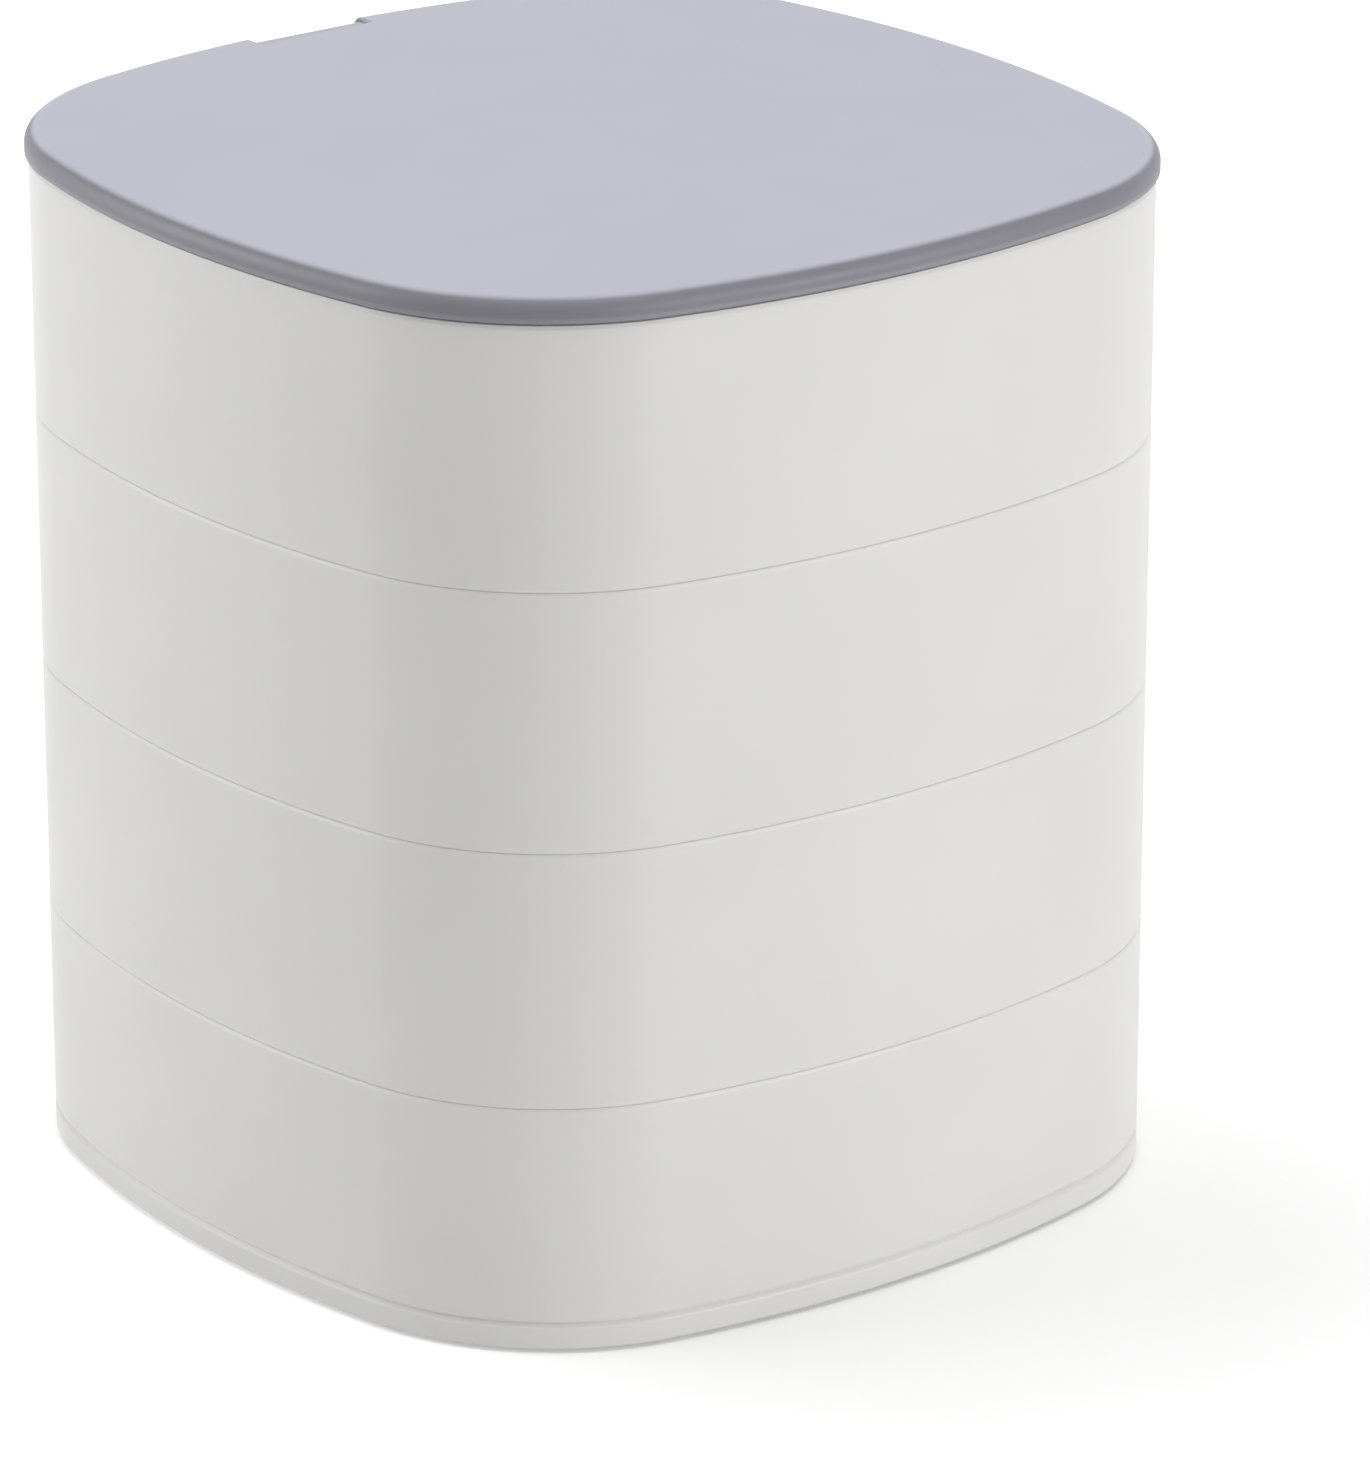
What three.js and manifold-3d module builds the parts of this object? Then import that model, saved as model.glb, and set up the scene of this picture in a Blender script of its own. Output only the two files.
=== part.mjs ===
// Rotating accessory storage box. Four trays are stacked on a steel shaft in the back
// right corner, and three of them swing out about it. The lid over the top tray is hinged
// at the middle of the back and has a mirror under it. Millimetres, +Z up. The origin is
// on the surface that the box stands on, below the middle of its plan, and +Y is the back.

import * as THREE from 'three';
import { mergeVertices } from 'three/addons/utils/BufferGeometryUtils.js';
import Module from 'manifold-3d';

const wasm = await Module();
wasm.setup();

// Driving dimensions of the whole box
const width = 105;
const sideRadius = 128;
const cornerRadius = 28.7;
const tierHeight = 27.6;
const bottomTierHeight = 26.85;
const baseHeight = 2.85;
const lidThickness = 2.6;
const lidOverhang = 0.4;

// Moulded walls of the trays
const wall = 1.8;
const floorThickness = 1.8;
const floorRadius = 2.4;
const edgeRadius = 0.3;
const dividerThickness = 1.4;
const dividerDrop = 3;
const cellRadius = 3;

// Clearances
const seamGap = 0.3;
const fitGap = 0.3;
const washerPlay = 0.1;
const overrun = 2;

// Corner pivot
const shaftRadius = 3;
const pivotBossRadius = 6.5;
const washerRadius = 5;
const washerRecess = 0.5;
const shaftBore = 1.9;
const shaftBoreDepth = 11;
const pivotScrewRadius = 1.6;
const pivotScrewLength = 9;
const pivotHeadRadius = 3.3;
const pivotHeadHeight = 1.8;
const topWasherRadius = 4;
const topWasherThickness = 0.8;
const capFlange = 1.1;
const capBevel = 0.5;
const capSpigot = 1.2;
const capWellDepth = 4.6;
const capWellRadius = 4.5;

// Base cover, its screws and its feet
const basePlate = 1.6;
const baseRim = 3;
const ribThickness = 1.2;
const footRadius = 4.5;
const footDrop = 0.4;
const footRecess = 0.8;
const footEdge = 0.35;
const footPlaceShare = 0.54;
const screwRadius = 1.2;
const screwLength = 7.5;
const screwHeadRadius = 2.8;
const screwHeadHeight = 1.3;
const screwHeadDepth = 1.5;
const screwBossRadius = 3.4;
const screwBossHeight = 6.5;
const screwHeadEdgeShare = 0.25;

// Lid, mirror and hinge
const lidEdgeRadius = 1.6;
const lidUnderRadius = 0.25;
const lipDepth = 1.1;
const lipThickness = 1.2;
const lipGap = 0.4;
const mirrorInset = 5.6;
const mirrorThickness = 1.4;
const mirrorBevel = 0.35;
const mirrorPocketDepth = 1.1;
const tapeThickness = 0.3;
const tapeInset = 7.5;
const knuckleRadius = 1.5;
const knuckleDrop = 0.4;
const hingeInset = 0.25;
const hingePinRadius = 0.7;
const notchWidth = 15;
const pinReach = 5;
const barrelRadius = 1.9;
const snapSlot = 1.1;
const hingeBlockDepth = 7;
const hingeFlangeThickness = 1.3;
const hingeFlangeReach = 3;

// Ring cushion
const rollCount = 7;
const cushionGap = 0.5;
const cushionHeight = 18;

// Compartments as shares of the half width, from left to right and front to back
const bottomCellShares = [[-1, 1, -1, 0.12], [-1, -0.1, 0.12, 1], [-0.1, 1, 0.12, 1]];
const lowerCellShares = [[-1, 0.02, -1, 1], [0.02, 1, -1, 0], [0.02, 1, 0, 1]];
const upperCellShares = [[-1, 0, -1, -0.02], [0, 1, -1, -0.02], [-1, 0, -0.02, 1], [0, 1, -0.02, 1]];
const topCellShares = [[-1, 0.24, -1, 1], [0.24, 1, -1, -0.06], [0.24, 1, -0.06, 1]];

// Steps of the round forms
const sideSteps = 6;
const cornerSteps = 8;
const edgeSteps = 2;
const lidEdgeSteps = 4;
const postSteps = 24;
const smallSteps = 16;
const rollSteps = 8;
const cellSteps = 3;

// Heights of the seams above the floor
const baseLevel = footDrop;
const bottomTrayLevel = baseLevel + baseHeight;
const lowerTrayLevel = baseLevel + bottomTierHeight;
const upperTrayLevel = lowerTrayLevel + tierHeight;
const topTrayLevel = upperTrayLevel + tierHeight;
const lidLevel = topTrayLevel + tierHeight;
const bottomTrayHeight = bottomTierHeight - baseHeight - seamGap;
const trayHeight = tierHeight - seamGap;

// Plan: a wide arc on each side, and a tangent tighter arc round each corner
const half = width / 2;
const sideCentre = half - sideRadius;
const arcDistance = sideRadius - cornerRadius;
const cornerCentre = (sideCentre + Math.sqrt(2 * arcDistance ** 2 - sideCentre ** 2)) / 2;
const sideAngle = Math.atan2(cornerCentre, cornerCentre - sideCentre);
const planDiagonal = cornerCentre * Math.SQRT2 + cornerRadius;

// Places on the diagonals
const pivot = (planDiagonal - wall / 2 - pivotBossRadius) / Math.SQRT2;
const screwPlace = (planDiagonal - wall / 2 - screwBossRadius) / Math.SQRT2;
const footPlace = footPlaceShare * half;

// Hinge line, measured from the underside of the lid
const hingeY = half - hingeInset - knuckleRadius;
const hingeZ = lidThickness - knuckleDrop - knuckleRadius;

const mouldedWhite = new THREE.MeshStandardMaterial({ color: 0xe4e3df, roughness: 0.38 });
const mouldedLavender = new THREE.MeshStandardMaterial({ color: 0xc5c5d1, roughness: 0.45 });
const steel = new THREE.MeshStandardMaterial({ color: 0xb9bbbd, roughness: 0.3, metalness: 1 });
const silverGlass = new THREE.MeshStandardMaterial({ color: 0xdfe4e6, roughness: 0.04, metalness: 1 });
const rubber = new THREE.MeshStandardMaterial({ color: 0x8f8f8d, roughness: 0.85 });
const nylon = new THREE.MeshStandardMaterial({ color: 0xd8d6cf, roughness: 0.5 });
const foamTape = new THREE.MeshStandardMaterial({ color: 0xf2f2ee, roughness: 0.9 });
const velvet = new THREE.MeshStandardMaterial({ color: 0x6d6a78, roughness: 0.95 });

// Turns a closed three.js geometry into a solid that can be cut and joined
function solid(geometry) {
  const bare = geometry.clone();
  bare.deleteAttribute('normal');
  bare.deleteAttribute('uv');
  const merged = mergeVertices(bare);
  const vertProperties = new Float32Array(merged.attributes.position.array);
  const triVerts = new Uint32Array(merged.index.array);
  return new wasm.Manifold(new wasm.Mesh({ numProp: 3, vertProperties, triVerts }));
}

function geometryOf(body) {
  const mesh = body.getMesh();
  const geometry = new THREE.BufferGeometry();
  geometry.setAttribute('position', new THREE.BufferAttribute(mesh.vertProperties, 3));
  geometry.setIndex(new THREE.BufferAttribute(mesh.triVerts, 1));
  return geometry;
}

function join(solids) {
  return solids.reduce((whole, next) => whole.add(next));
}

function arc(x, y, radius, start, end, steps) {
  const points = [];
  for (let i = 0; i < steps; i += 1) {
    const angle = start + ((end - start) * i) / steps;
    points.push(new THREE.Vector2(x + radius * Math.cos(angle), y + radius * Math.sin(angle)));
  }
  return points;
}

// The plan, moved inwards by the inset
function planRing(inset) {
  const points = [];
  for (let quarter = 0; quarter < 4; quarter += 1) {
    const side = arc(sideCentre, 0, sideRadius - inset, -sideAngle, sideAngle, sideSteps);
    const cornerEnd = Math.PI / 2 - sideAngle;
    const corner = arc(cornerCentre, cornerCentre, cornerRadius - inset, sideAngle, cornerEnd, cornerSteps);
    for (const point of [...side, ...corner]) {
      points.push(point.rotateAround(new THREE.Vector2(), (quarter * Math.PI) / 2));
    }
  }
  return points;
}

// A closed solid through plan rings, each given as its inset and its height
function loft(rings) {
  const loops = rings.map(([inset]) => planRing(inset));
  const count = loops[0].length;
  const positions = rings.flatMap(([, z], ring) => loops[ring].flatMap((point) => [point.x, point.y, z]));
  const index = [];
  for (let ring = 0; ring + 1 < rings.length; ring += 1) {
    for (let i = 0; i < count; i += 1) {
      const a = ring * count + i;
      const b = ring * count + ((i + 1) % count);
      index.push(a, b, b + count, a, b + count, a + count);
    }
  }
  const last = (rings.length - 1) * count;
  for (const [a, b, c] of THREE.ShapeUtils.triangulateShape(loops[0], [])) {
    index.push(a, c, b);
  }
  for (const [a, b, c] of THREE.ShapeUtils.triangulateShape(loops[rings.length - 1], [])) {
    index.push(last + a, last + b, last + c);
  }
  const geometry = new THREE.BufferGeometry();
  geometry.setAttribute('position', new THREE.Float32BufferAttribute(positions, 3));
  geometry.setIndex(index);
  return geometry;
}

// Rings of a plate or shell whose lower and upper edges are rounded
function roundedRings(bottom, top, lowerRadius, upperRadius, inset, upperSteps = edgeSteps) {
  const rings = [];
  for (let i = 0; i <= edgeSteps; i += 1) {
    const angle = (Math.PI / 2) * (i / edgeSteps);
    const offset = lowerRadius * (1 - Math.sin(angle));
    rings.push([inset + offset, bottom + lowerRadius * (1 - Math.cos(angle))]);
  }
  for (let i = 0; i <= upperSteps; i += 1) {
    const angle = (Math.PI / 2) * (i / upperSteps);
    const offset = upperRadius * (1 - Math.cos(angle));
    rings.push([inset + offset, top - upperRadius * (1 - Math.sin(angle))]);
  }
  return rings;
}

function post(radius, bottom, top, x, y, steps) {
  const geometry = new THREE.CylinderGeometry(radius, radius, top - bottom, steps);
  return geometry.rotateX(Math.PI / 2).translate(x, y, (bottom + top) / 2);
}

function box(left, right, front, back, bottom, top) {
  const geometry = new THREE.BoxGeometry(right - left, back - front, top - bottom);
  return geometry.translate((left + right) / 2, (front + back) / 2, (bottom + top) / 2);
}

// A round piece turned about +Z, from a profile of radius and height pairs
function turned(profile, steps) {
  const points = profile.map(([radius, height]) => new THREE.Vector2(radius, height));
  return new THREE.LatheGeometry(points, steps).rotateX(Math.PI / 2);
}

// A bar along X whose profile is drawn in Y and Z
function bar(shape, left, right, curveSegments) {
  const settings = { depth: right - left, bevelEnabled: false, curveSegments };
  const geometry = new THREE.ExtrudeGeometry(shape, settings);
  const [x, y, z] = [new THREE.Vector3(1, 0, 0), new THREE.Vector3(0, 1, 0), new THREE.Vector3(0, 0, 1)];
  geometry.applyMatrix4(new THREE.Matrix4().makeBasis(y, z, x));
  return geometry.translate(left, 0, 0);
}

function rod(radius, y, z, left, right, steps) {
  const geometry = new THREE.CylinderGeometry(radius, radius, right - left, steps);
  return geometry.rotateZ(Math.PI / 2).translate((left + right) / 2, y, z);
}

// The upright space of one compartment; its edges at a divider leave half the divider
function cellSpace([left, right, front, back], top) {
  const edge = (share, way) => share * half + (Math.abs(share) < 1 ? (way * dividerThickness) / 2 : 0);
  const [x0, x1] = [edge(left, 1), edge(right, -1)];
  const [y0, y1] = [edge(front, 1), edge(back, -1)];
  const shape = new THREE.Shape();
  shape.absarc(x1 - cellRadius, y0 + cellRadius, cellRadius, -Math.PI / 2, 0, false);
  shape.absarc(x1 - cellRadius, y1 - cellRadius, cellRadius, 0, Math.PI / 2, false);
  shape.absarc(x0 + cellRadius, y1 - cellRadius, cellRadius, Math.PI / 2, Math.PI, false);
  shape.absarc(x0 + cellRadius, y0 + cellRadius, cellRadius, Math.PI, Math.PI * 1.5, false);
  return new THREE.ExtrudeGeometry(shape, { depth: top, bevelEnabled: false, curveSegments: cellSteps });
}

// A tray with its compartments, the posts that rise in them and the bore for the shaft
function tray(height, cellShares, posts) {
  const outside = solid(loft(roundedRings(0, height, edgeRadius, edgeRadius, 0)));
  const middle = floorRadius * (1 - Math.SQRT1_2);
  const inside = solid(loft([
    [wall + floorRadius, floorThickness],
    [wall + middle, floorThickness + middle],
    [wall, floorThickness + floorRadius],
    [wall, height + overrun],
  ]));
  const cells = join(cellShares.map((shares) => solid(cellSpace(shares, height + overrun))));
  const aboveDividers = solid(loft([[wall, height - dividerDrop], [wall, height + overrun]]));
  const hollow = inside.intersect(cells).add(aboveDividers).subtract(join(posts));
  return outside.subtract(hollow);
}

function pivotPost(top) {
  return solid(post(pivotBossRadius, 0, top, pivot, pivot, postSteps));
}

function shaftBoreCut(top) {
  return solid(post(shaftRadius + fitGap, -overrun, top + overrun, pivot, pivot, postSteps));
}

function washerRecessCut(top) {
  const radius = washerRadius + fitGap;
  return solid(post(radius, top - washerRecess, top + overrun, pivot, pivot, postSteps));
}

const screwPlaces = [[-screwPlace, -screwPlace], [screwPlace, -screwPlace], [-screwPlace, screwPlace]];
const footPlaces = [
  [-footPlace, -footPlace], [footPlace, -footPlace], [-footPlace, footPlace], [footPlace, footPlace],
];

function bottomTray() {
  const height = bottomTrayHeight;
  const bossTop = floorThickness + screwBossHeight;
  const bosses = screwPlaces.map(([x, y]) => solid(post(screwBossRadius, 0, bossTop, x, y, smallSteps)));
  const boreTop = screwHeadDepth + screwHeadHeight + screwLength - baseHeight;
  const bores = screwPlaces.map(([x, y]) => (
    solid(post(screwRadius + fitGap, -overrun, boreTop, x, y, smallSteps))
  ));
  return tray(height, bottomCellShares, [pivotPost(height), ...bosses])
    .subtract(join(bores))
    .subtract(shaftBoreCut(height))
    .subtract(washerRecessCut(height));
}

function swingTray(cellShares) {
  return tray(trayHeight, cellShares, [pivotPost(trayHeight)])
    .subtract(shaftBoreCut(trayHeight))
    .subtract(washerRecessCut(trayHeight));
}

// Heights round the top of the shaft, measured from the underside of the top tray
const capTop = tierHeight - lipDepth - fitGap;
const topBossTop = capTop - capFlange;
const capWellFloor = topBossTop - capWellDepth;
const shaftTop = capWellFloor + fitGap;

// The back rim of the lid turns down into this relief of the top tray when the lid opens
const rimBehind = half + lidOverhang - hingeY;
const rimAbove = lidThickness - hingeZ;
const rimRound = Math.hypot(rimBehind - lidEdgeRadius, rimAbove - lidEdgeRadius) + lidEdgeRadius;
const reliefRadius = Math.max(rimRound, Math.hypot(rimBehind, hingeZ), barrelRadius) + fitGap;
const reliefReach = Math.sqrt((sideRadius + lidOverhang) ** 2 - (hingeY - sideCentre) ** 2);
const blockHalf = notchWidth / 2 - fitGap;

function topTray() {
  const well = post(capWellRadius, capWellFloor, trayHeight + overrun, pivot, pivot, postSteps);
  const axis = tierHeight + hingeZ;
  const relief = rod(reliefRadius, hingeY, axis, -reliefReach, reliefReach, postSteps);
  const blockCut = box(
    -notchWidth / 2, notchWidth / 2, half - wall - overrun, half + overrun,
    trayHeight - hingeBlockDepth - fitGap, trayHeight + overrun,
  );
  return tray(trayHeight, topCellShares, [pivotPost(topBossTop)])
    .subtract(shaftBoreCut(trayHeight))
    .subtract(solid(well))
    .subtract(solid(relief))
    .subtract(solid(flangeBox(fitGap)))
    .subtract(solid(blockCut));
}

// The flange of the hinge block, which lies just inside the back wall, with room round it
function flangeBox(room) {
  const reach = notchWidth / 2 + hingeFlangeReach;
  const sag = sideRadius - Math.sqrt(sideRadius ** 2 - reach ** 2);
  const back = half - wall - sag - fitGap;
  return box(
    -reach - room, reach + room, back - hingeFlangeThickness - room, back,
    trayHeight - hingeBlockDepth - room, tierHeight + hingeZ - reliefRadius + room,
  );
}

// The block between the two barrels of the lid, set into a cut-out of the back wall
function hingeBlock() {
  const bottom = trayHeight - hingeBlockDepth;
  const axis = tierHeight + hingeZ;
  const profile = new THREE.Shape();
  profile.moveTo(half, bottom);
  profile.lineTo(half, axis);
  profile.lineTo(hingeY + knuckleRadius, axis);
  profile.absarc(hingeY, axis, knuckleRadius, 0, Math.PI, false);
  profile.lineTo(hingeY - knuckleRadius, bottom);
  const body = solid(bar(profile, -blockHalf, blockHalf, rollSteps));
  const plan = solid(loft([[0, 0], [0, tierHeight + lidThickness]]));
  const bore = rod(hingePinRadius + fitGap, hingeY, axis, -notchWidth, notchWidth, smallSteps);
  return body.intersect(plan).add(solid(flangeBox(0))).subtract(solid(bore));
}

function hingePin() {
  const reach = notchWidth / 2 + pinReach - fitGap;
  return rod(hingePinRadius, hingeY, tierHeight + hingeZ, -reach, reach, smallSteps);
}

function lidShell() {
  const rings = roundedRings(0, lidThickness, lidUnderRadius, lidEdgeRadius, -lidOverhang, lidEdgeSteps);
  const slab = solid(loft(rings));
  const lipOuter = wall + lipGap;
  const lipInner = lipOuter + lipThickness;
  const lip = solid(loft([[lipOuter, -lipDepth], [lipOuter, lidUnderRadius]]))
    .subtract(solid(loft([[lipInner, -lipDepth - overrun], [lipInner, overrun]])))
    .subtract(solid(box(-reliefReach, reliefReach, 0, width, -lipDepth - overrun, overrun)));
  const pocket = loft([[mirrorInset - fitGap, -overrun], [mirrorInset - fitGap, mirrorPocketDepth]]);
  const barrelEnd = reliefReach - fitGap;
  const barrel = solid(rod(barrelRadius, hingeY, hingeZ, -barrelEnd, barrelEnd, postSteps))
    .intersect(solid(loft([[-lidOverhang, -width], [-lidOverhang, lidThickness - lidEdgeRadius]])));
  const notch = box(
    -notchWidth / 2, notchWidth / 2, hingeY - knuckleRadius - fitGap, width, -width, lidThickness + overrun,
  );
  const boreEnd = notchWidth / 2 + pinReach;
  const bore = rod(hingePinRadius + fitGap, hingeY, hingeZ, -boreEnd, boreEnd, smallSteps);
  const slot = box(-boreEnd, boreEnd, hingeY - snapSlot / 2, hingeY + snapSlot / 2, -width, hingeZ);
  return slab.add(lip).add(barrel)
    .subtract(solid(pocket))
    .subtract(solid(notch))
    .subtract(solid(bore))
    .subtract(solid(slot));
}

function mirror() {
  const top = mirrorPocketDepth - tapeThickness;
  return loft([
    [mirrorInset + mirrorBevel, top - mirrorThickness],
    [mirrorInset, top - mirrorThickness + mirrorBevel],
    [mirrorInset, top],
  ]);
}

function mirrorTape() {
  return loft([[tapeInset, mirrorPocketDepth - tapeThickness], [tapeInset, mirrorPocketDepth]]);
}

// A cushion of parallel rolls that hold rings between them, shaped to the left compartment
function ringCushion() {
  const [, right, , ] = topCellShares[0];
  const reach = half - wall - cushionGap;
  const rollRadius = reach / rollCount;
  const spring = cushionHeight - rollRadius;
  const profile = new THREE.Shape();
  profile.moveTo(reach, 0);
  profile.lineTo(reach, spring);
  for (let roll = rollCount - 1; roll >= 0; roll -= 1) {
    const centre = -reach + rollRadius * (2 * roll + 1);
    profile.absarc(centre, spring, rollRadius, 0, Math.PI, false);
  }
  profile.lineTo(-reach, 0);
  const rightEdge = right * half - dividerThickness / 2 - cushionGap;
  const rolls = solid(bar(profile, -half, rightEdge, rollSteps));
  const inset = wall + cushionGap;
  const outline = loft([[inset + floorRadius, 0], [inset, floorRadius], [inset, cushionHeight + overrun]]);
  const flangeRoom = flangeBox(fitGap).translate(0, 0, -floorThickness);
  return rolls.intersect(solid(outline)).subtract(solid(flangeRoom));
}

function baseCover() {
  const outside = solid(loft(roundedRings(0, baseHeight, edgeRadius, edgeRadius, 0)));
  const pocket = solid(loft([[baseRim, basePlate], [baseRim, baseHeight + overrun]]));
  const bosses = screwPlaces.map(([x, y]) => (
    solid(post(screwBossRadius + fitGap, 0, baseHeight, x, y, smallSteps))
  ));
  const ribHalf = ribThickness / 2;
  const ribs = [
    solid(box(-half, half, -ribHalf, ribHalf, 0, baseHeight)),
    solid(box(-ribHalf, ribHalf, -half, half, 0, baseHeight)),
  ];
  const kept = join([pivotPost(baseHeight), ...bosses, ...ribs]);
  const heads = screwPlaces.map(([x, y]) => (
    solid(post(screwHeadRadius + fitGap, -overrun, screwHeadDepth, x, y, smallSteps))
      .add(solid(post(screwRadius + fitGap, -overrun, baseHeight + overrun, x, y, smallSteps)))
  ));
  const pivotHead = solid(post(pivotHeadRadius + fitGap, -overrun, screwHeadDepth, pivot, pivot, postSteps))
    .add(solid(post(pivotScrewRadius + fitGap, -overrun, baseHeight + overrun, pivot, pivot, smallSteps)));
  const feet = footPlaces.map(([x, y]) => (
    solid(post(footRadius + fitGap, -overrun, footRecess, x, y, smallSteps))
  ));
  return outside.subtract(pocket.subtract(kept))
    .subtract(join(heads))
    .subtract(pivotHead)
    .subtract(join(feet));
}

function foot() {
  return turned([
    [0, -footDrop],
    [footRadius - footEdge, -footDrop],
    [footRadius, footEdge - footDrop],
    [footRadius, footRecess],
    [0, footRecess],
  ], smallSteps);
}

// A pan head screw that points up, with the underside of its head at height zero
function screw(radius, length, headRadius, headHeight, steps) {
  const edge = headHeight * screwHeadEdgeShare;
  return turned([
    [0, -headHeight],
    [headRadius * Math.SQRT1_2, -headHeight * Math.SQRT1_2 - edge],
    [headRadius, -edge],
    [headRadius, 0],
    [radius, 0],
    [radius, length - radius],
    [0, length],
  ], steps);
}

function ring(inner, outer, thickness) {
  return turned([[inner, 0], [outer, 0], [outer, thickness], [inner, thickness], [inner, 0]], postSteps);
}

function pivotShaft(length) {
  return turned([
    [0, shaftBoreDepth],
    [shaftBore, shaftBoreDepth],
    [shaftBore, 0],
    [shaftRadius, 0],
    [shaftRadius, length],
    [shaftBore, length],
    [shaftBore, length - shaftBoreDepth],
    [0, length - shaftBoreDepth],
  ], postSteps);
}

function pivotCap() {
  const spigot = capWellRadius - fitGap;
  const flange = pivotBossRadius - wall / 2 - fitGap;
  return turned([
    [0, -capSpigot],
    [spigot, -capSpigot],
    [spigot, 0],
    [flange, 0],
    [flange, capFlange - capBevel],
    [flange - capBevel, capFlange],
    [0, capFlange],
  ], postSteps);
}

function piece(name, shape, material, group, x = 0, y = 0, z = 0) {
  const geometry = shape.isBufferGeometry ? shape : geometryOf(shape);
  const mesh = new THREE.Mesh(geometry, material);
  mesh.name = name;
  mesh.position.set(x, y, z);
  group.add(mesh);
  return mesh;
}

function tier(parent, z) {
  const group = new THREE.Group();
  group.position.z = z;
  parent.add(group);
  return group;
}

const storageBox = new THREE.Group();

const base = tier(storageBox, baseLevel);
piece('base_cover', baseCover(), mouldedWhite, base);
const cornerNames = ['front_left', 'front_right', 'back_left', 'back_right'];
footPlaces.forEach(([x, y], i) => piece(`foot_${cornerNames[i]}`, foot(), rubber, base, x, y));
screwPlaces.forEach(([x, y], i) => {
  const shape = screw(screwRadius, screwLength, screwHeadRadius, screwHeadHeight, smallSteps);
  piece(`base_screw_${cornerNames[i]}`, shape, steel, base, x, y, screwHeadDepth);
});
const lowerScrew = screw(pivotScrewRadius, pivotScrewLength, pivotHeadRadius, screwHeadHeight, smallSteps);
piece('pivot_screw_lower', lowerScrew, steel, base, pivot, pivot, screwHeadDepth);

const bottomTier = tier(storageBox, bottomTrayLevel);
piece('bottom_tray', bottomTray(), mouldedWhite, bottomTier);
const shaftLength = topTrayLevel + shaftTop - bottomTrayLevel;
piece('pivot_shaft', pivotShaft(shaftLength), steel, bottomTier, pivot, pivot);

const lowerTier = tier(storageBox, lowerTrayLevel);
piece('lower_middle_tray', swingTray(lowerCellShares), mouldedWhite, lowerTier);
const upperTier = tier(storageBox, upperTrayLevel);
piece('upper_middle_tray', swingTray(upperCellShares), mouldedWhite, upperTier);

// A washer lies in each boss and stands just above it, under the next tray
const washerThickness = washerRecess + seamGap - washerPlay;
const washer = ring(shaftRadius + fitGap, washerRadius, washerThickness);
piece('washer_lower', washer, nylon, bottomTier, pivot, pivot, bottomTrayHeight - washerRecess);
piece('washer_middle', washer, nylon, lowerTier, pivot, pivot, trayHeight - washerRecess);
piece('washer_upper', washer, nylon, upperTier, pivot, pivot, trayHeight - washerRecess);

const topTier = tier(storageBox, topTrayLevel);
piece('top_tray', topTray(), mouldedWhite, topTier);
piece('hinge_block', hingeBlock(), mouldedLavender, topTier);
piece('hinge_pin', hingePin(), steel, topTier);
piece('ring_cushion', ringCushion(), velvet, topTier, 0, 0, floorThickness);
const topWasher = ring(pivotScrewRadius + fitGap, topWasherRadius, topWasherThickness);
piece('pivot_washer_top', topWasher, steel, topTier, pivot, pivot, shaftTop);
const upperScrew = screw(pivotScrewRadius, pivotScrewLength, pivotHeadRadius, pivotHeadHeight, smallSteps);
const upperScrewMesh = piece('pivot_screw_upper', upperScrew, steel, topTier, pivot, pivot);
upperScrewMesh.position.z = shaftTop + topWasherThickness;
upperScrewMesh.rotation.x = Math.PI;
piece('pivot_cap', pivotCap(), mouldedWhite, topTier, pivot, pivot, topBossTop);

const lid = tier(storageBox, lidLevel);
piece('lid', lidShell(), mouldedLavender, lid);
piece('lid_mirror', mirror(), silverGlass, lid);
piece('mirror_tape', mirrorTape(), foamTape, lid);

export default storageBox;
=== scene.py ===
# Rotating accessory storage box: four stacked trays on a corner shaft, under a hinged lid.
import math

import bmesh
import bpy
from mathutils import Euler, Matrix, Vector


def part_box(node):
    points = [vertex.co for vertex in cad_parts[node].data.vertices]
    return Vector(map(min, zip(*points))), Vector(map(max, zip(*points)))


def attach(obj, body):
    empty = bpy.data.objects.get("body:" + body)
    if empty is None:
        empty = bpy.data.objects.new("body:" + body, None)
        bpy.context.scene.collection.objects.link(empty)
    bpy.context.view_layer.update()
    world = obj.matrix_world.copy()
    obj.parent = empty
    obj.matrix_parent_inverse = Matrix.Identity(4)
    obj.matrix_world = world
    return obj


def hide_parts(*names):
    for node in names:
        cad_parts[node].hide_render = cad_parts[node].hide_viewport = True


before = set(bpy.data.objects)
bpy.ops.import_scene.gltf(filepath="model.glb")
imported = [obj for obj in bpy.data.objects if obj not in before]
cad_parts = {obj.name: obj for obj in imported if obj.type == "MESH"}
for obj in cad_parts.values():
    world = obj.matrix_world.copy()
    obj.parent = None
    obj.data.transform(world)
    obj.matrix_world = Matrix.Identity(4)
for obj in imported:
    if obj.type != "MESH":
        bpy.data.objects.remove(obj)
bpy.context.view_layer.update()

MM = 0.001

# Distances that count as none or are merged, and how finely round forms are divided
SAME_PLACE = 0.005 * MM
MERGE_DISTANCE = 0.001 * MM
ROUND_SIDES = 64
BORE_SIDES = 32
ROUND_STEPS = 5
FINER_FROM_RADIUS = 1 * MM

# Greatest angle between faces, in degrees, at which an edge is shaded smooth
SMOOTH_ANGLE = 38
SCREW_SMOOTH_ANGLE = 30
MIRROR_SMOOTH_ANGLE = 8
NORMAL_WEIGHT = 90

# Plan of the box: a wide arc on each side and a tangent tighter arc round each corner
SIDE_RADIUS = 128 * MM
CORNER_RADIUS = 28.7 * MM
SIDE_STEPS = 14
CORNER_STEPS = 26

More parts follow.
